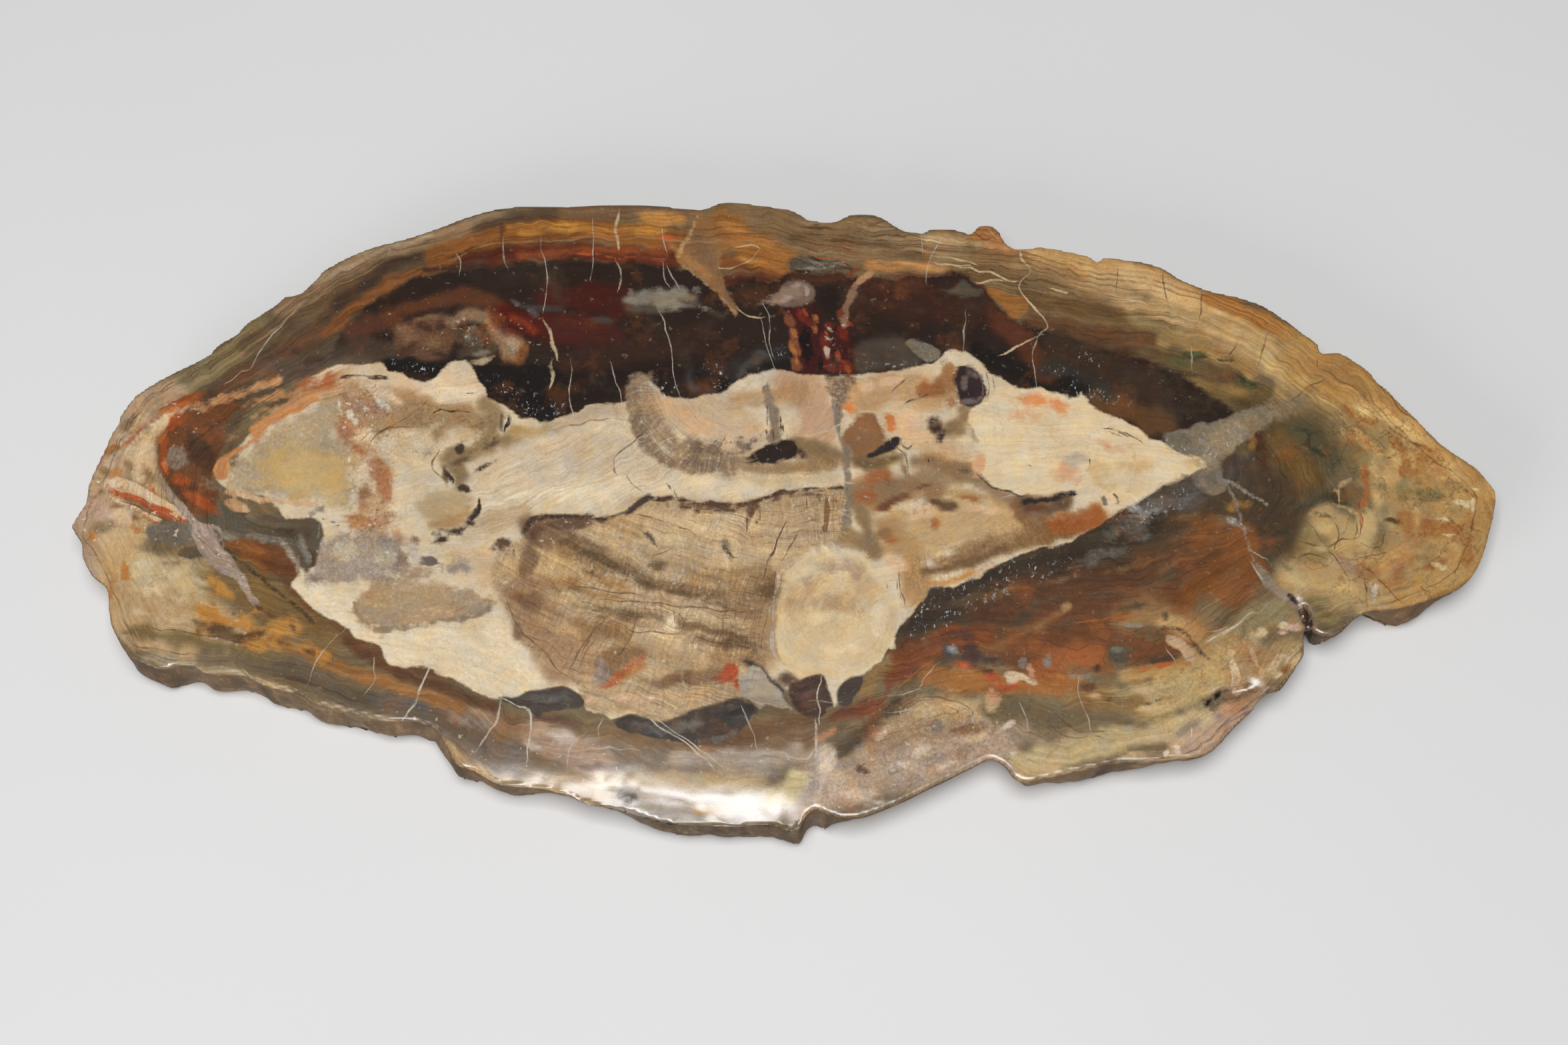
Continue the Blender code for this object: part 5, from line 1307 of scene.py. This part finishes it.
def set_textures():
    """How strong each texture is, place by place."""
    for points, soft, width, strengths in (
        ((740,770, 60,-50, 80,-30, 80,20), 14, 90, dict(streaks=0.6, pale_flecks=0.3)),
        ((960,600, 0,40, 40,40, 50,10), 8, 60, dict(streaks=0.5, speckle=0.4)),
        ((1110,700, 90,0, 50,-10), 8, 40, dict(rays=0.5)),
        ((1205,750, 50,0, 0,50, -30,15), 8, 30, dict(rays=0.9, speckle=0.6)),
        ((1380,860, 70,-20, 70,-30, 80,-20), 10, 50, dict(rays=0.5, speckle=0.7, dark_flecks=0.8)),
        ((560,620, 60,30, 80,-10), 16, 90, dict(stains=0.8, threads=0.7, speckle=0.5, dark_flecks=0.4)),
        ((340,620, 80,-30, 80,-15), 10, 60, dict(streaks=0.9, stains=0.8, threads=0.3)),
        ((550,700, 10,60, 30,60), 14, 60, dict(stains=0.8, threads=0.5, pale_flecks=0.7)),
        ((1350,1100, 100,-20, 100,20), 20, 120, dict(stains=0.8, threads=0.5, streaks=0.3)),
        ((1340,1080, 80,20, 60,50), 20, 90, dict(speckle=0.8, dark_flecks=0.7, pale_flecks=0.6)),
        ((140,760, 40,-70, 40,-50), 16, 80, dict(streaks=0.4, stains=1.0, threads=0.8, bands=0.2)),
        ((160,850, 80,40, 90,60), 20, 130, dict(bands=0.12, streaks=0.45, stains=0.8, threads=0.4,
            pale_flecks=0.3)),
        ((600,1080, 120,40, 130,20, 150,10, 150,-10), 20, 60, dict(bands=0.2, streaks=0.7,
            pale_flecks=0.5)), ((300,880, 80,50, 80,30), 16, 60, dict(stains=1.2, streaks=0.5)),
        ((1900,850, 100,10, 60,10), 20, 60, dict(bands=0.0, streaks=0.2, threads=0.8, stains=0.7)),
        ((1930,800, 70,-10, 70,10), 20, 60, dict(bands=0.0, streaks=0.15, threads=0.8, stains=0.7)),
        ((2080,700, 70,60, 10,70), 24, 130, dict(bands=0.05, streaks=0.25, threads=0.6, stains=0.8)),
        ((1950,660, 70,20, 50,40), 20, 60, dict(bands=0.1, streaks=0.3, threads=0.6, stains=0.9,
            dark_flecks=0.5)),
        ((1200,350, 100,0, 100,20, 100,40, 150,40, 100,30), 14, 36, dict(bands=1.2, streaks=0.9)),
        ((1780,1050, 70,-50, 80,-50), 20, 90, dict(bands=0.1, streaks=0.4, stains=1.0, threads=0.7,
            speckle=0.6)),
        ((1250,1190, 100,-40, 130,-40), 20, 80, dict(bands=0.05, streaks=0.1, stains=0.9, threads=0.7,
            speckle=0.8, pale_flecks=0.5)),
        ((1560,1110, 140,-20, 100,-30), 20, 90, dict(bands=0.25, streaks=0.5, stains=0.5)),
        ((1660,420, 70,10, 60,25), 16, 44, dict(bands=0.1, streaks=0.25)),
        ((1290,720, 60,30, 50,-30), 14, 60, dict(stains=1.2, threads=0.4, dark_flecks=0.6,
            pale_flecks=0.3)),
        ((860,820, 90,40, 100,30, 110,-10), 8, 40, dict(rays=0.8, speckle=0.9, dark_flecks=0.8)),
        ((900,920, 100,15, 130,30), 8, 50, dict(rays=0.8, speckle=0.8, dark_flecks=0.5)),
        ((540,600, 20,100, 0,90), 12, 70, dict(stains=1.2, threads=0.9, pale_flecks=0.9, speckle=0.8)),
        ((1480,920, 120,-40, 150,-30), 20, 90, dict(streaks=0.6, stains=0.9)),
        ((2060,660, 90,80, 20,80, -90,40), 20, 110, dict(stains=1.5, threads=1.0, speckle=0.4)),
        ((160,720, 40,-40, 40,-40, 50,-30), 14, 70, dict(stains=1.4, threads=0.8, pale_flecks=0.9,
            speckle=0.4, bands=0.05)),
        ((130,790, 50,-10, 60,10), 14, 70, dict(stains=1.4, threads=0.6, pale_flecks=0.8, bands=0.05)),
        ((1560,980, 140,-20, 100,0), 20, 80, dict(stains=1.2, threads=0.6, streaks=0.4)),
        ((1700,760, 150,-20, 50,-40), 20, 120, dict(stains=1.0, streaks=0.3, speckle=0.3)),
        ((1640,470, 110,50, 100,70), 20, 90, dict(stains=0.8, streaks=0.7)),
        ((920,1180, 130,20, 120,-10), 16, 60, dict(streaks=0.3, bands=0.2)),
        ((600,500, 100,0, 80,10), 12, 70, dict(stains=1.2, speckle=0.9, dark_flecks=0.6, pale_flecks=0.4)),
    ):
        texture(points, soft, width, **strengths)


lay_rind()
lay_left_crust()
lay_dark_zone()
lay_heart()
lift_cream()
lay_core()
set_textures()
lay_heart_details()
lay_upper_details()
lay_right_details()
lay_left_details()
lay_bottom_details()
lay_cracks()
lay_glitter()


# ---------------------------------------------------------------- the way the grain runs

BARK_TO_SPINE = 260                     # across values run from 0 at the bark to this at the spine
TURN_CENTRE, TURN_FLAT = (1150, 690), 0.45  # along values run round this place on a flattened circle
TURN_RADIUS = 420
GRAIN_EDGE = 4                          # patches of other grain reach this far past their outline
CORE_RINGS = ((1230, 103), 800)         # centre and radius of growth rings
FAN_RINGS = ((1105, 555), 150)
KNOT_RINGS = ((1255, 925), 90)
LEFT_BAND = ((735, 800), (720, 700), (800, 640), (960, 650), (1060, 730), (1240, 716), (1262, 731),
             (1166, 741), (1030, 750), (905, 777), (797, 780))
FAN = ((940, 580), (1000, 575), (1150, 560), (1245, 600), (1262, 700), (1050, 712), (960, 660))
KNOT = ((1150, 925), (1180, 850), (1250, 815), (1330, 860), (1360, 925), (1320, 1000), (1250, 1030),
        (1170, 1000))
RIGHT_BAND = ((1300, 900), (1330, 740), (1480, 730), (1650, 745), (1670, 790), (1480, 870), (1390, 900))


def around(centre, radius):
    """Across and along coordinates of growth rings round a centre, in pixels."""
    dx, dy = px - centre[0], py - centre[1]
    return np.column_stack((np.hypot(dx, dy), np.arctan2(dy, dx) * radius))


def slanted(rise, run):
    """Across and along coordinates of straight slanted grain, in pixels."""
    return np.column_stack((rise * px + run * py, run * px - rise * py))


def run_grain():
    """Across and along coordinates of the grain for every vertex, in pixels."""
    everywhere = np.arange(count)
    bark = gap(curve(BARK_LINE, True), True, everywhere)[0]
    spine = gap(curve(SPINE, False), False, everywhere)[0]
    across = bark / (bark + spine + 1e-6) * BARK_TO_SPINE
    turn = np.arctan2(true_y - TURN_CENTRE[1], (true_x - TURN_CENTRE[0]) * TURN_FLAT)
    way = np.column_stack((across, turn * TURN_RADIUS))
    for outline, system in (
        (CORE, around(*CORE_RINGS)),
        (LEFT_BAND, slanted(0.42, 0.91)),
        (FAN, around(*FAN_RINGS)),
        (KNOT, around(*KNOT_RINGS)),
        (RIGHT_BAND, slanted(0.33, 0.94)),
    ):
        which, deep = depth_in(outline, 20)
        inner = which[deep > -GRAIN_EDGE]
        way[inner] = system[inner]
    return way


# ---------------------------------------------------------------- shaping the stone

BOX_MARGIN = 0.00002                    # the skin stays this far inside the sawn blank's box
FACE_FACING, FACE_LOW = 0.8, 0.0150     # polished where the stone faces up this much, this high
POLISH_ROUNDS, POLISH_SHARE = 14, 0.6   # rounds of smoothing, and how far each one goes
FLAT_FROM, FLAT_FULL = 0.01780, 0.01792  # the face is drawn to one plane between these heights
FACE_WAVE = 0.00002                     # what it still swells by
WORN_SPREAD = 40                        # a worn edge starts and ends over this many pixels
WORN_BELOW = 700                        # only the near rim is worn
WORN_EDGES = (                          # left, right and reach in pixels, drop in metres
    (880, 1200, 76, 0.0019), (710, 850, 46, 0.0007), (2130, 2260, 60, 0.0006),
)
WALL_FACING = (0.35, 0.8)               # no bark above the second, all bark below the first
SAWN_FACING = (-0.98, -0.85)            # no bark where the stone faces down this much
WALL_BELOW = (0.0004, 0.0030)           # the bark starts this far below the face


def polish_face():
    """Face polished flat; worn edges and pits keep their shape, made smooth."""
    ends = np.zeros(len(stone.data.edges) * 2, np.int32)
    stone.data.edges.foreach_get("vertices", ends)
    a, b = ends.reshape(-1, 2).T
    top = (ways[:, 2] > FACE_FACING) & (co[:, 2] > FACE_LOW)
    kept = top[a] & top[b]
    a, b = a[kept], b[kept]
    degree = np.maximum(np.bincount(a, minlength=count) + np.bincount(b, minlength=count), 1)
    for _ in range(POLISH_ROUNDS):
        z = co[:, 2]
        total = np.bincount(a, z[b], count) + np.bincount(b, z[a], count)
        co[top, 2] = ((1 - POLISH_SHARE) * z + POLISH_SHARE * total / degree)[top]
    flat = step_up(co[:, 2], FLAT_FROM, FLAT_FULL) * top
    wave = FACE_WAVE * cloud(true_x, true_y, 90, 7)
    co[:, 2] = co[:, 2] * (1 - flat) + (FACE_HEIGHT + wave) * flat
    rim = gap(curve(BARK_LINE, True), True, np.arange(count))[0]
    low = true_y > WORN_BELOW
    for left, right, reach, drop in WORN_EDGES:
        along = step_up(true_x, left - WORN_SPREAD, left + WORN_SPREAD)
        along = along * (1 - step_up(true_x, right - WORN_SPREAD, right + WORN_SPREAD))
        co[:, 2] -= top * low * along * drop * np.clip(1 - rim / reach, 0, 1) ** 1.6
    stone.data.vertices.foreach_set("co", co.astype(np.float32).ravel())
    stone.data.update()


def roughen_bark():
    """Lumps and flakes cut into the bark wall."""
    wall = stone.vertex_groups.new(name="bark_wall")
    fresh = facing(stone.data)
    weight = (1 - step_up(fresh[:, 2], *WALL_FACING)) * step_up(fresh[:, 2], *SAWN_FACING)
    weight = weight * step_up(FACE_HEIGHT - co[:, 2], *WALL_BELOW)
    for index in np.flatnonzero(weight > 0.02):
        wall.add([int(index)], float(weight[index]), "REPLACE")
    for name, kind, size, depth in (
        ("bark_lumps", "CLOUDS", 0.0075, BARK_LUMPS), ("bark_flakes", "VORONOI", 0.0040, BARK_FLAKES),
    ):
        pattern = bpy.data.textures.new(name, kind)
        pattern.noise_scale = size
        rough = stone.modifiers.new(name, "DISPLACE")
        rough.texture = pattern
        rough.texture_coords = "LOCAL"
        rough.vertex_group = wall.name
        rough.mid_level = 1.0
        rough.strength = depth
        bpy.ops.object.modifier_apply(modifier=rough.name)
    stone.vertex_groups.clear()


def keep_inside_blank():
    """No part of the finished skin stands outside the sawn blank's box."""
    low, high = (np.array(corner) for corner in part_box("petrified_wood_slice"))
    now = np.clip(places(stone.data), low + BOX_MARGIN, high - BOX_MARGIN)
    stone.data.vertices.foreach_set("co", now.astype(np.float32).ravel())
    stone.data.update()


polish_face()
roughen_bark()
keep_inside_blank()
stone.data.shade_smooth()


# ---------------------------------------------------------------- what the finish reads

def carry_colour(name, colour, alpha):
    """A colour with a fourth value, kept on the vertices."""
    values = np.column_stack((colour, alpha)).astype(np.float32)
    layer = stone.data.attributes.new(name, "FLOAT_COLOR", "POINT")
    layer.data.foreach_set("color", values.ravel())


def carry_number(name, values):
    """A number kept on the vertices."""
    layer = stone.data.attributes.new(name, "FLOAT", "POINT")
    layer.data.foreach_set("value", np.asarray(values, np.float32))


grain_way = run_grain()
final_ways = facing(stone.data)
coats_used = int(coat_top.max())
lines_used = int(line_used.any(axis=1).sum())
for layer_name in base_paint:
    carry_colour("paint_" + layer_name, linear(base_paint[layer_name]), base_edge[layer_name])
for k in range(coats_used):
    carry_colour(f"coat_{k}", linear(coat_paint[k]), coat_edge[k])
for k in range(lines_used):
    carry_colour(f"lines_{k}", line_data[k, :, :3], line_data[k, :, 3])
carry_colour("grain_strength", grain[:, :3], grain[:, 3])
carry_colour("stain_strength", grain[:, 4:7], grain[:, 7])
way_layer = stone.data.attributes.new("grain_way", "FLOAT_VECTOR", "POINT")
grain_way = np.column_stack((grain_way, np.zeros(count)))
way_layer.data.foreach_set("vector", grain_way.astype(np.float32).ravel())
carry_number("glint", glint)
underside = step_up(-final_ways[:, 2], 0.75, 0.95)
carry_number("underside", underside)
carry_number("bark_wall", (1 - step_up(final_ways[:, 2], 0.45, 0.85)) * (1 - underside))


# ---------------------------------------------------------------- the finish

WARMTH = (1.03, 0.97, 0.90)             # the whole stone leans this much to amber
STAINS = (                              # size, from, full, colour, share, way of mixing
    (75, 0.54, 0.70, "#A4602F", 0.50, "MIX"), (95, 0.55, 0.72, "#5E5A48", 0.42, "MIX"),
    (120, 0.57, 0.70, "#D9BE92", 0.40, "SOFT_LIGHT"),
)
GAINS = ((6.0, 0.22), (8.0, 0.0), (10.0, -0.33))  # strength and warm tilt of red, green and blue
# the bark's own browns, darkened further as painted shade on the wall against the light the pale floor
# throws onto it
BARK_TONES_AND_SHADE = ((0.30, "#2D2118"), (0.46, "#503C2B"), (0.58, "#6F543B"), (0.70, "#9A7C5B"))
BUMP_DEPTH, BUMP_SHARE = 0.0006, 0.8    # metres of the finish's relief, and how much of it shows


def polished_finish():
    """The stone's finish: painted zones, grain, healed cracks, glints, bark wall and sawn underside."""
    finish = bpy.data.materials.new("petrified_wood_finish")
    finish.use_nodes = True
    nodes, links = finish.node_tree.nodes, finish.node_tree.links
    nodes.clear()

    def put(kind, values=(), **settings):
        node = nodes.new(kind)
        for name, value in settings.items():
            setattr(node, name, value)
        for socket, value in dict(values).items():
            if isinstance(value, bpy.types.NodeSocket):
                links.new(value, node.inputs[socket])
            else:
                node.inputs[socket].default_value = value
        return node

    def sums(operation, *values, clamp=False):
        total = put("ShaderNodeMath", enumerate(values), operation=operation).outputs[0]
        return put("ShaderNodeClamp", {0: total}).outputs[0] if clamp else total

    def blend(share, under, over, kind="MIX"):
        return put("ShaderNodeMix", {0: share, 6: under, 7: over}, data_type="RGBA",
                   blend_type=kind).outputs[2]

    def cloudy(place, scale, detail=2.0, rough=0.5):
        return put("ShaderNodeTexNoise", {"Vector": place, "Scale": scale, "Detail": detail,
                                          "Roughness": rough}).outputs[0]

    def stretched(place, sizes):
        return put("ShaderNodeVectorMath", {0: place, 1: sizes}, operation="MULTIPLY").outputs[0]

    def carried(name):
        return put("ShaderNodeAttribute", attribute_name=name)

    def solid(hex_colour):
        return (*linear(shade(hex_colour)), 1)

    place = put("ShaderNodeTexCoord").outputs["Object"]
    way = carried("grain_way").outputs["Vector"]
    strength = {}
    for carrier, names in (("grain_strength", TEXTURES[:4]), ("stain_strength", TEXTURES[4:])):
        source = carried(carrier)
        parts = put("ShaderNodeSeparateColor", {0: source.outputs["Color"]})
        strength.update(zip(names, (*parts.outputs, source.outputs["Alpha"])))
    bark = carried("bark_wall").outputs["Fac"]
    under = carried("underside").outputs["Fac"]

    # the grain itself wanders a little
    sway = put("ShaderNodeTexNoise", {"Vector": place, "Scale": 70.0, "Detail": 3.0}).outputs[1]
    sway = put("ShaderNodeVectorMath", {0: sway, 1: (0.5, 0.5, 0.5)}, operation="SUBTRACT").outputs[0]
    way = put("ShaderNodeVectorMath", {0: sway, 1: (26.0, 60.0, 0.0), 2: way},
              operation="MULTIPLY_ADD").outputs[0]

    # edges of the painted zones, ragged at the size of grains and feathered along the grain
    feather = cloudy(stretched(way, (0.30, 0.03, 1)), 1.0, 2.0, 0.6)
    ragged = sums("MULTIPLY_ADD", cloudy(place, 560, 4.0, 0.65), 2.2, -1.2)
    ragged = sums("MULTIPLY_ADD", feather, 1.2, ragged)

    colour = carried("paint_rind").outputs["Color"]
    for name in [n for n in base_paint if n != "rind"] + list(range(coats_used)):
        coat = carried(f"coat_{name}" if isinstance(name, int) else "paint_" + name)
        shown = sums("MULTIPLY_ADD", coat.outputs["Alpha"], 0.6, ragged, clamp=True)
        colour = blend(shown, colour, coat.outputs["Color"])

    # stains: rust here, grey olive there, in cloudy patches
    for size, low, high, tint, much, kind in STAINS:
        elsewhere = put("ShaderNodeVectorMath", {0: place, 1: (size, 0.0, 3.0)}, operation="ADD")
        spot = cloudy(elsewhere.outputs[0], size, 5.0, 0.68)
        spot = put("ShaderNodeMapRange", {0: spot, 1: low, 2: high, 3: 0.0, 4: much}).outputs[0]
        spot = sums("MULTIPLY", spot, strength["stains"], clamp=True)
        colour = blend(spot, colour, solid(tint), kind)

    # grain: streaks along, bands round, rays across, speckle and broad mottling
    streaks = sums("SUBTRACT", cloudy(stretched(way, (0.28, 0.014, 1)), 1.0, 5.0, 0.68), 0.5)
    bands = sums("SUBTRACT", cloudy(stretched(way, (0.085, 0.005, 1)), 1.0, 4.0, 0.6), 0.5)
    rings = sums("SUBTRACT", cloudy(stretched(way, (0.10, 0.0036, 1)), 1.0, 3.0, 0.55), 0.5)
    rings = sums("ABSOLUTE", rings)
    rings = put("ShaderNodeMapRange", {0: rings, 1: 0.0, 2: 0.016, 3: -0.42, 4: 0.0}).outputs[0]
    bands = sums("ADD", bands, rings)
    rays = sums("SUBTRACT", cloudy(stretched(way, (0.014, 0.24, 1)), 1.0, 4.0, 0.66), 0.5)
    speckle = sums("SUBTRACT", cloudy(place, 1300, 3.0, 0.75), 0.5)
    mottle = sums("SUBTRACT", cloudy(place, 110, 5.0, 0.66), 0.5)
    lift = sums("MULTIPLY", mottle, 0.36)
    for name, pattern in (("streaks", streaks), ("bands", bands), ("rays", rays), ("speckle", speckle)):
        lift = sums("MULTIPLY_ADD", pattern, strength[name], lift)
    # threads: fine curling dark lines
    curl = cloudy(place, 62, 6.0, 0.62)
    thread = sums("ABSOLUTE", sums("SUBTRACT", curl, 0.5))
    thread = put("ShaderNodeMapRange", {0: thread, 1: 0.0, 2: 0.010, 3: -0.32, 4: 0.0}).outputs[0]
    lift = sums("MULTIPLY_ADD", thread, strength["threads"], lift)
    # flecks: small dark dashes along the grain, small pale chips
    dashes = cloudy(stretched(way, (0.42, 0.14, 1)), 1.0, 2.0, 0.6)
    dashes = put("ShaderNodeMapRange", {0: dashes, 1: 0.66, 2: 0.76, 3: 0.0, 4: -0.45}).outputs[0]
    lift = sums("MULTIPLY_ADD", dashes, strength["dark_flecks"], lift)
    warm = sums("SUBTRACT", cloudy(place, 210, 5.0, 0.62), 0.5)
    gain = put("ShaderNodeCombineXYZ", enumerate(
        sums("POWER", power, sums("MULTIPLY_ADD", warm, tilt, lift)) for power, tilt in GAINS)).outputs[0]
    colour = put("ShaderNodeVectorMath", {0: colour, 1: gain}, operation="MULTIPLY").outputs[0]
    chips = cloudy(place, 700, 1.0, 0.5)
    chips = put("ShaderNodeMapRange", {0: chips, 1: 0.70, 2: 0.76, 3: 0.0, 4: 0.9}).outputs[0]
    colour = blend(sums("MULTIPLY", chips, strength["pale_flecks"], clamp=True), colour, solid("#E2D8C4"))
    colour = put("ShaderNodeVectorMath", {0: colour, 1: WARMTH}, operation="MULTIPLY").outputs[0]

    # healed cracks and drawn lines
    wobble = sums("MULTIPLY_ADD", cloudy(place, 1500, 2.0), 1.2, -0.6)
    broken = put("ShaderNodeMapRange", {0: cloudy(place, 230, 3.0, 0.7), 1: 0.36, 2: 0.56, 3: 0.25,
                                        4: 1.0}).outputs[0]
    for k in range(lines_used):
        line = carried(f"lines_{k}")
        parts = put("ShaderNodeSeparateColor", {0: line.outputs["Color"]})
        off = sums("ABSOLUTE", line.outputs["Alpha"])
        cover = sums("SUBTRACT", 1.2, sums("ADD", off, wobble))
        cover = sums("MULTIPLY", cover, 1.5, clamp=True)
        cover = sums("MULTIPLY", cover, sums("MULTIPLY", parts.outputs[1], parts.outputs[2]))
        cover = sums("MULTIPLY", cover, broken)
        tones = put("ShaderNodeValToRGB", {0: parts.outputs[0]})
        ramp = tones.color_ramp
        ramp.interpolation = "CONSTANT"
        while len(ramp.elements) < len(TONES):
            ramp.elements.new(0.99)
        for n, tone in enumerate(TONES):
            ramp.elements[n].position = n / len(TONES)
            ramp.elements[n].color = solid(tone)
        colour = blend(cover, colour, tones.outputs[0])

    # glints of quartz
    sparks = cloudy(stretched(place, (1.0, 0.62, 1.0)), 1250, 2.0, 0.7)
    sparks = sums("MULTIPLY", sums("SUBTRACT", sparks, 0.60), 11, clamp=True)
    colour = blend(sums("MULTIPLY", sparks, carried("glint").outputs["Fac"]), colour, solid("#C6CDCE"))

    # bark wall: brown and dull, its own browns darkened as painted shade, with some of the face's layers
    # running down it
    flakes = cloudy(stretched(place, (1.0, 1.0, 0.45)), 330, 4.0, 0.65)
    browns = put("ShaderNodeValToRGB", {0: flakes})
    while len(browns.color_ramp.elements) < len(BARK_TONES_AND_SHADE):
        browns.color_ramp.elements.new(0.9)
    for n, (position, tone) in enumerate(BARK_TONES_AND_SHADE):
        browns.color_ramp.elements[n].position = position
        browns.color_ramp.elements[n].color = solid(tone)
    wall_colour = blend(0.3, browns.outputs[0], colour)
    wall_share = sums("MULTIPLY_ADD", flakes, 0.8, -0.4)
    wall_share = sums("MULTIPLY_ADD", bark, 1.8, sums("SUBTRACT", wall_share, 0.4), clamp=True)
    colour = blend(wall_share, colour, wall_colour)

    # underside: the same wood, dull from the saw, with its fine arcs
    saw = put("ShaderNodeTexWave", {"Vector": place, "Scale": 190.0, "Distortion": 1.2, "Detail": 2.0},
              wave_type="RINGS", rings_direction="SPHERICAL").outputs[1]
    sawn = blend(0.35, colour, solid("#8F8270"))
    sawn = blend(sums("MULTIPLY", saw, 0.18), sawn, solid("#C9BBA2"))
    colour = blend(under, colour, sawn)

    gloss = sums("MULTIPLY_ADD", cloudy(place, 160, 3.0, 0.6), 0.14, 0.15)
    dull = sums("MAXIMUM", sums("MULTIPLY", wall_share, 3.0, clamp=True), under)
    rough = put("ShaderNodeMix", {0: dull, 2: gloss, 3: 0.86}, data_type="FLOAT").outputs[0]
    polish = sums("SUBTRACT", 1.0, dull, clamp=True)

    # relief: saw marks and speckle, then the bark's flakes, which leave the polished face alone
    fine = sums("MULTIPLY_ADD", sums("MULTIPLY", saw, under), 0.08, sums("MULTIPLY", speckle, 0.03))
    fine = put("ShaderNodeBump", {"Height": fine, "Strength": BUMP_SHARE, "Distance": BUMP_DEPTH})
    bark_only = sums("MULTIPLY", sums("GREATER_THAN", bark, 0.001), BUMP_SHARE)
    bumps = put("ShaderNodeBump", {"Height": sums("MULTIPLY", flakes, wall_share), "Strength": bark_only,
                                   "Distance": BUMP_DEPTH, "Normal": fine.outputs[0]})
    skin = put("ShaderNodeBsdfPrincipled", {
        "Base Color": colour, "Roughness": rough, "IOR": 1.54, "Normal": bumps.outputs[0],
        "Coat Weight": sums("MULTIPLY", polish, 0.25), "Coat Roughness": 0.30, "Coat IOR": 1.5})
    put("ShaderNodeOutputMaterial", {0: skin.outputs[0]})
    return finish


stone.data.materials.append(polished_finish())
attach(stone, "root")
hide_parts("petrified_wood_slice")


# ---------------------------------------------------------------- floor, light and camera

bpy.ops.object.select_all(action="DESELECT")
bpy.ops.mesh.primitive_plane_add(size=6, location=(0, 0, 0))
floor = bpy.context.active_object
floor.name = "floor"
paper = bpy.data.materials.new("pale_paper")
paper.use_nodes = True
sheet = paper.node_tree.nodes["Principled BSDF"]
fibre = paper.node_tree.nodes.new("ShaderNodeTexNoise")
fibre.inputs["Scale"].default_value = 40
tint = paper.node_tree.nodes.new("ShaderNodeMapRange")
tint.inputs["To Min"].default_value = 0.80
tint.inputs["To Max"].default_value = 0.84
paper.node_tree.links.new(fibre.outputs[0], tint.inputs["Value"])
paper.node_tree.links.new(tint.outputs[0], sheet.inputs["Base Color"])
sheet.inputs["Roughness"].default_value = 0.95
floor.data.materials.append(paper)

sky = bpy.data.worlds.new("studio")
sky.use_nodes = True
sky.node_tree.nodes["Background"].inputs["Color"].default_value = (1.0, 1.0, 1.0, 1)
sky.node_tree.nodes["Background"].inputs["Strength"].default_value = 0.09
bpy.context.scene.world = sky


def softbox(name, place, wide, power):
    """A square soft light, aimed at the stone."""
    lamp = bpy.data.lights.new(name, "AREA")
    lamp.size = wide
    lamp.energy = power
    holder = bpy.data.objects.new(name, lamp)
    holder.location = place
    holder.rotation_euler = (-Vector(place)).to_track_quat("-Z", "Y").to_euler()
    bpy.context.scene.collection.objects.link(holder)


# place and size in metres, power in watts
softbox("overhead_softbox", (-0.04, -0.27, 1.38), 0.54, 14.6)
softbox("front_fill", (-0.9, -1.2, 0.7), 0.8, 7.0)

eye = bpy.data.cameras.new("camera")
eye.lens = LENS_MM
eye.sensor_width = SENSOR_MM
camera = bpy.data.objects.new("camera", eye)
camera.location = camera_place()
camera.rotation_euler = (math.pi / 2 - CAMERA_TILT, 0, 0)
bpy.context.scene.collection.objects.link(camera)
bpy.context.scene.camera = camera
bpy.context.scene.view_settings.view_transform = "Standard"
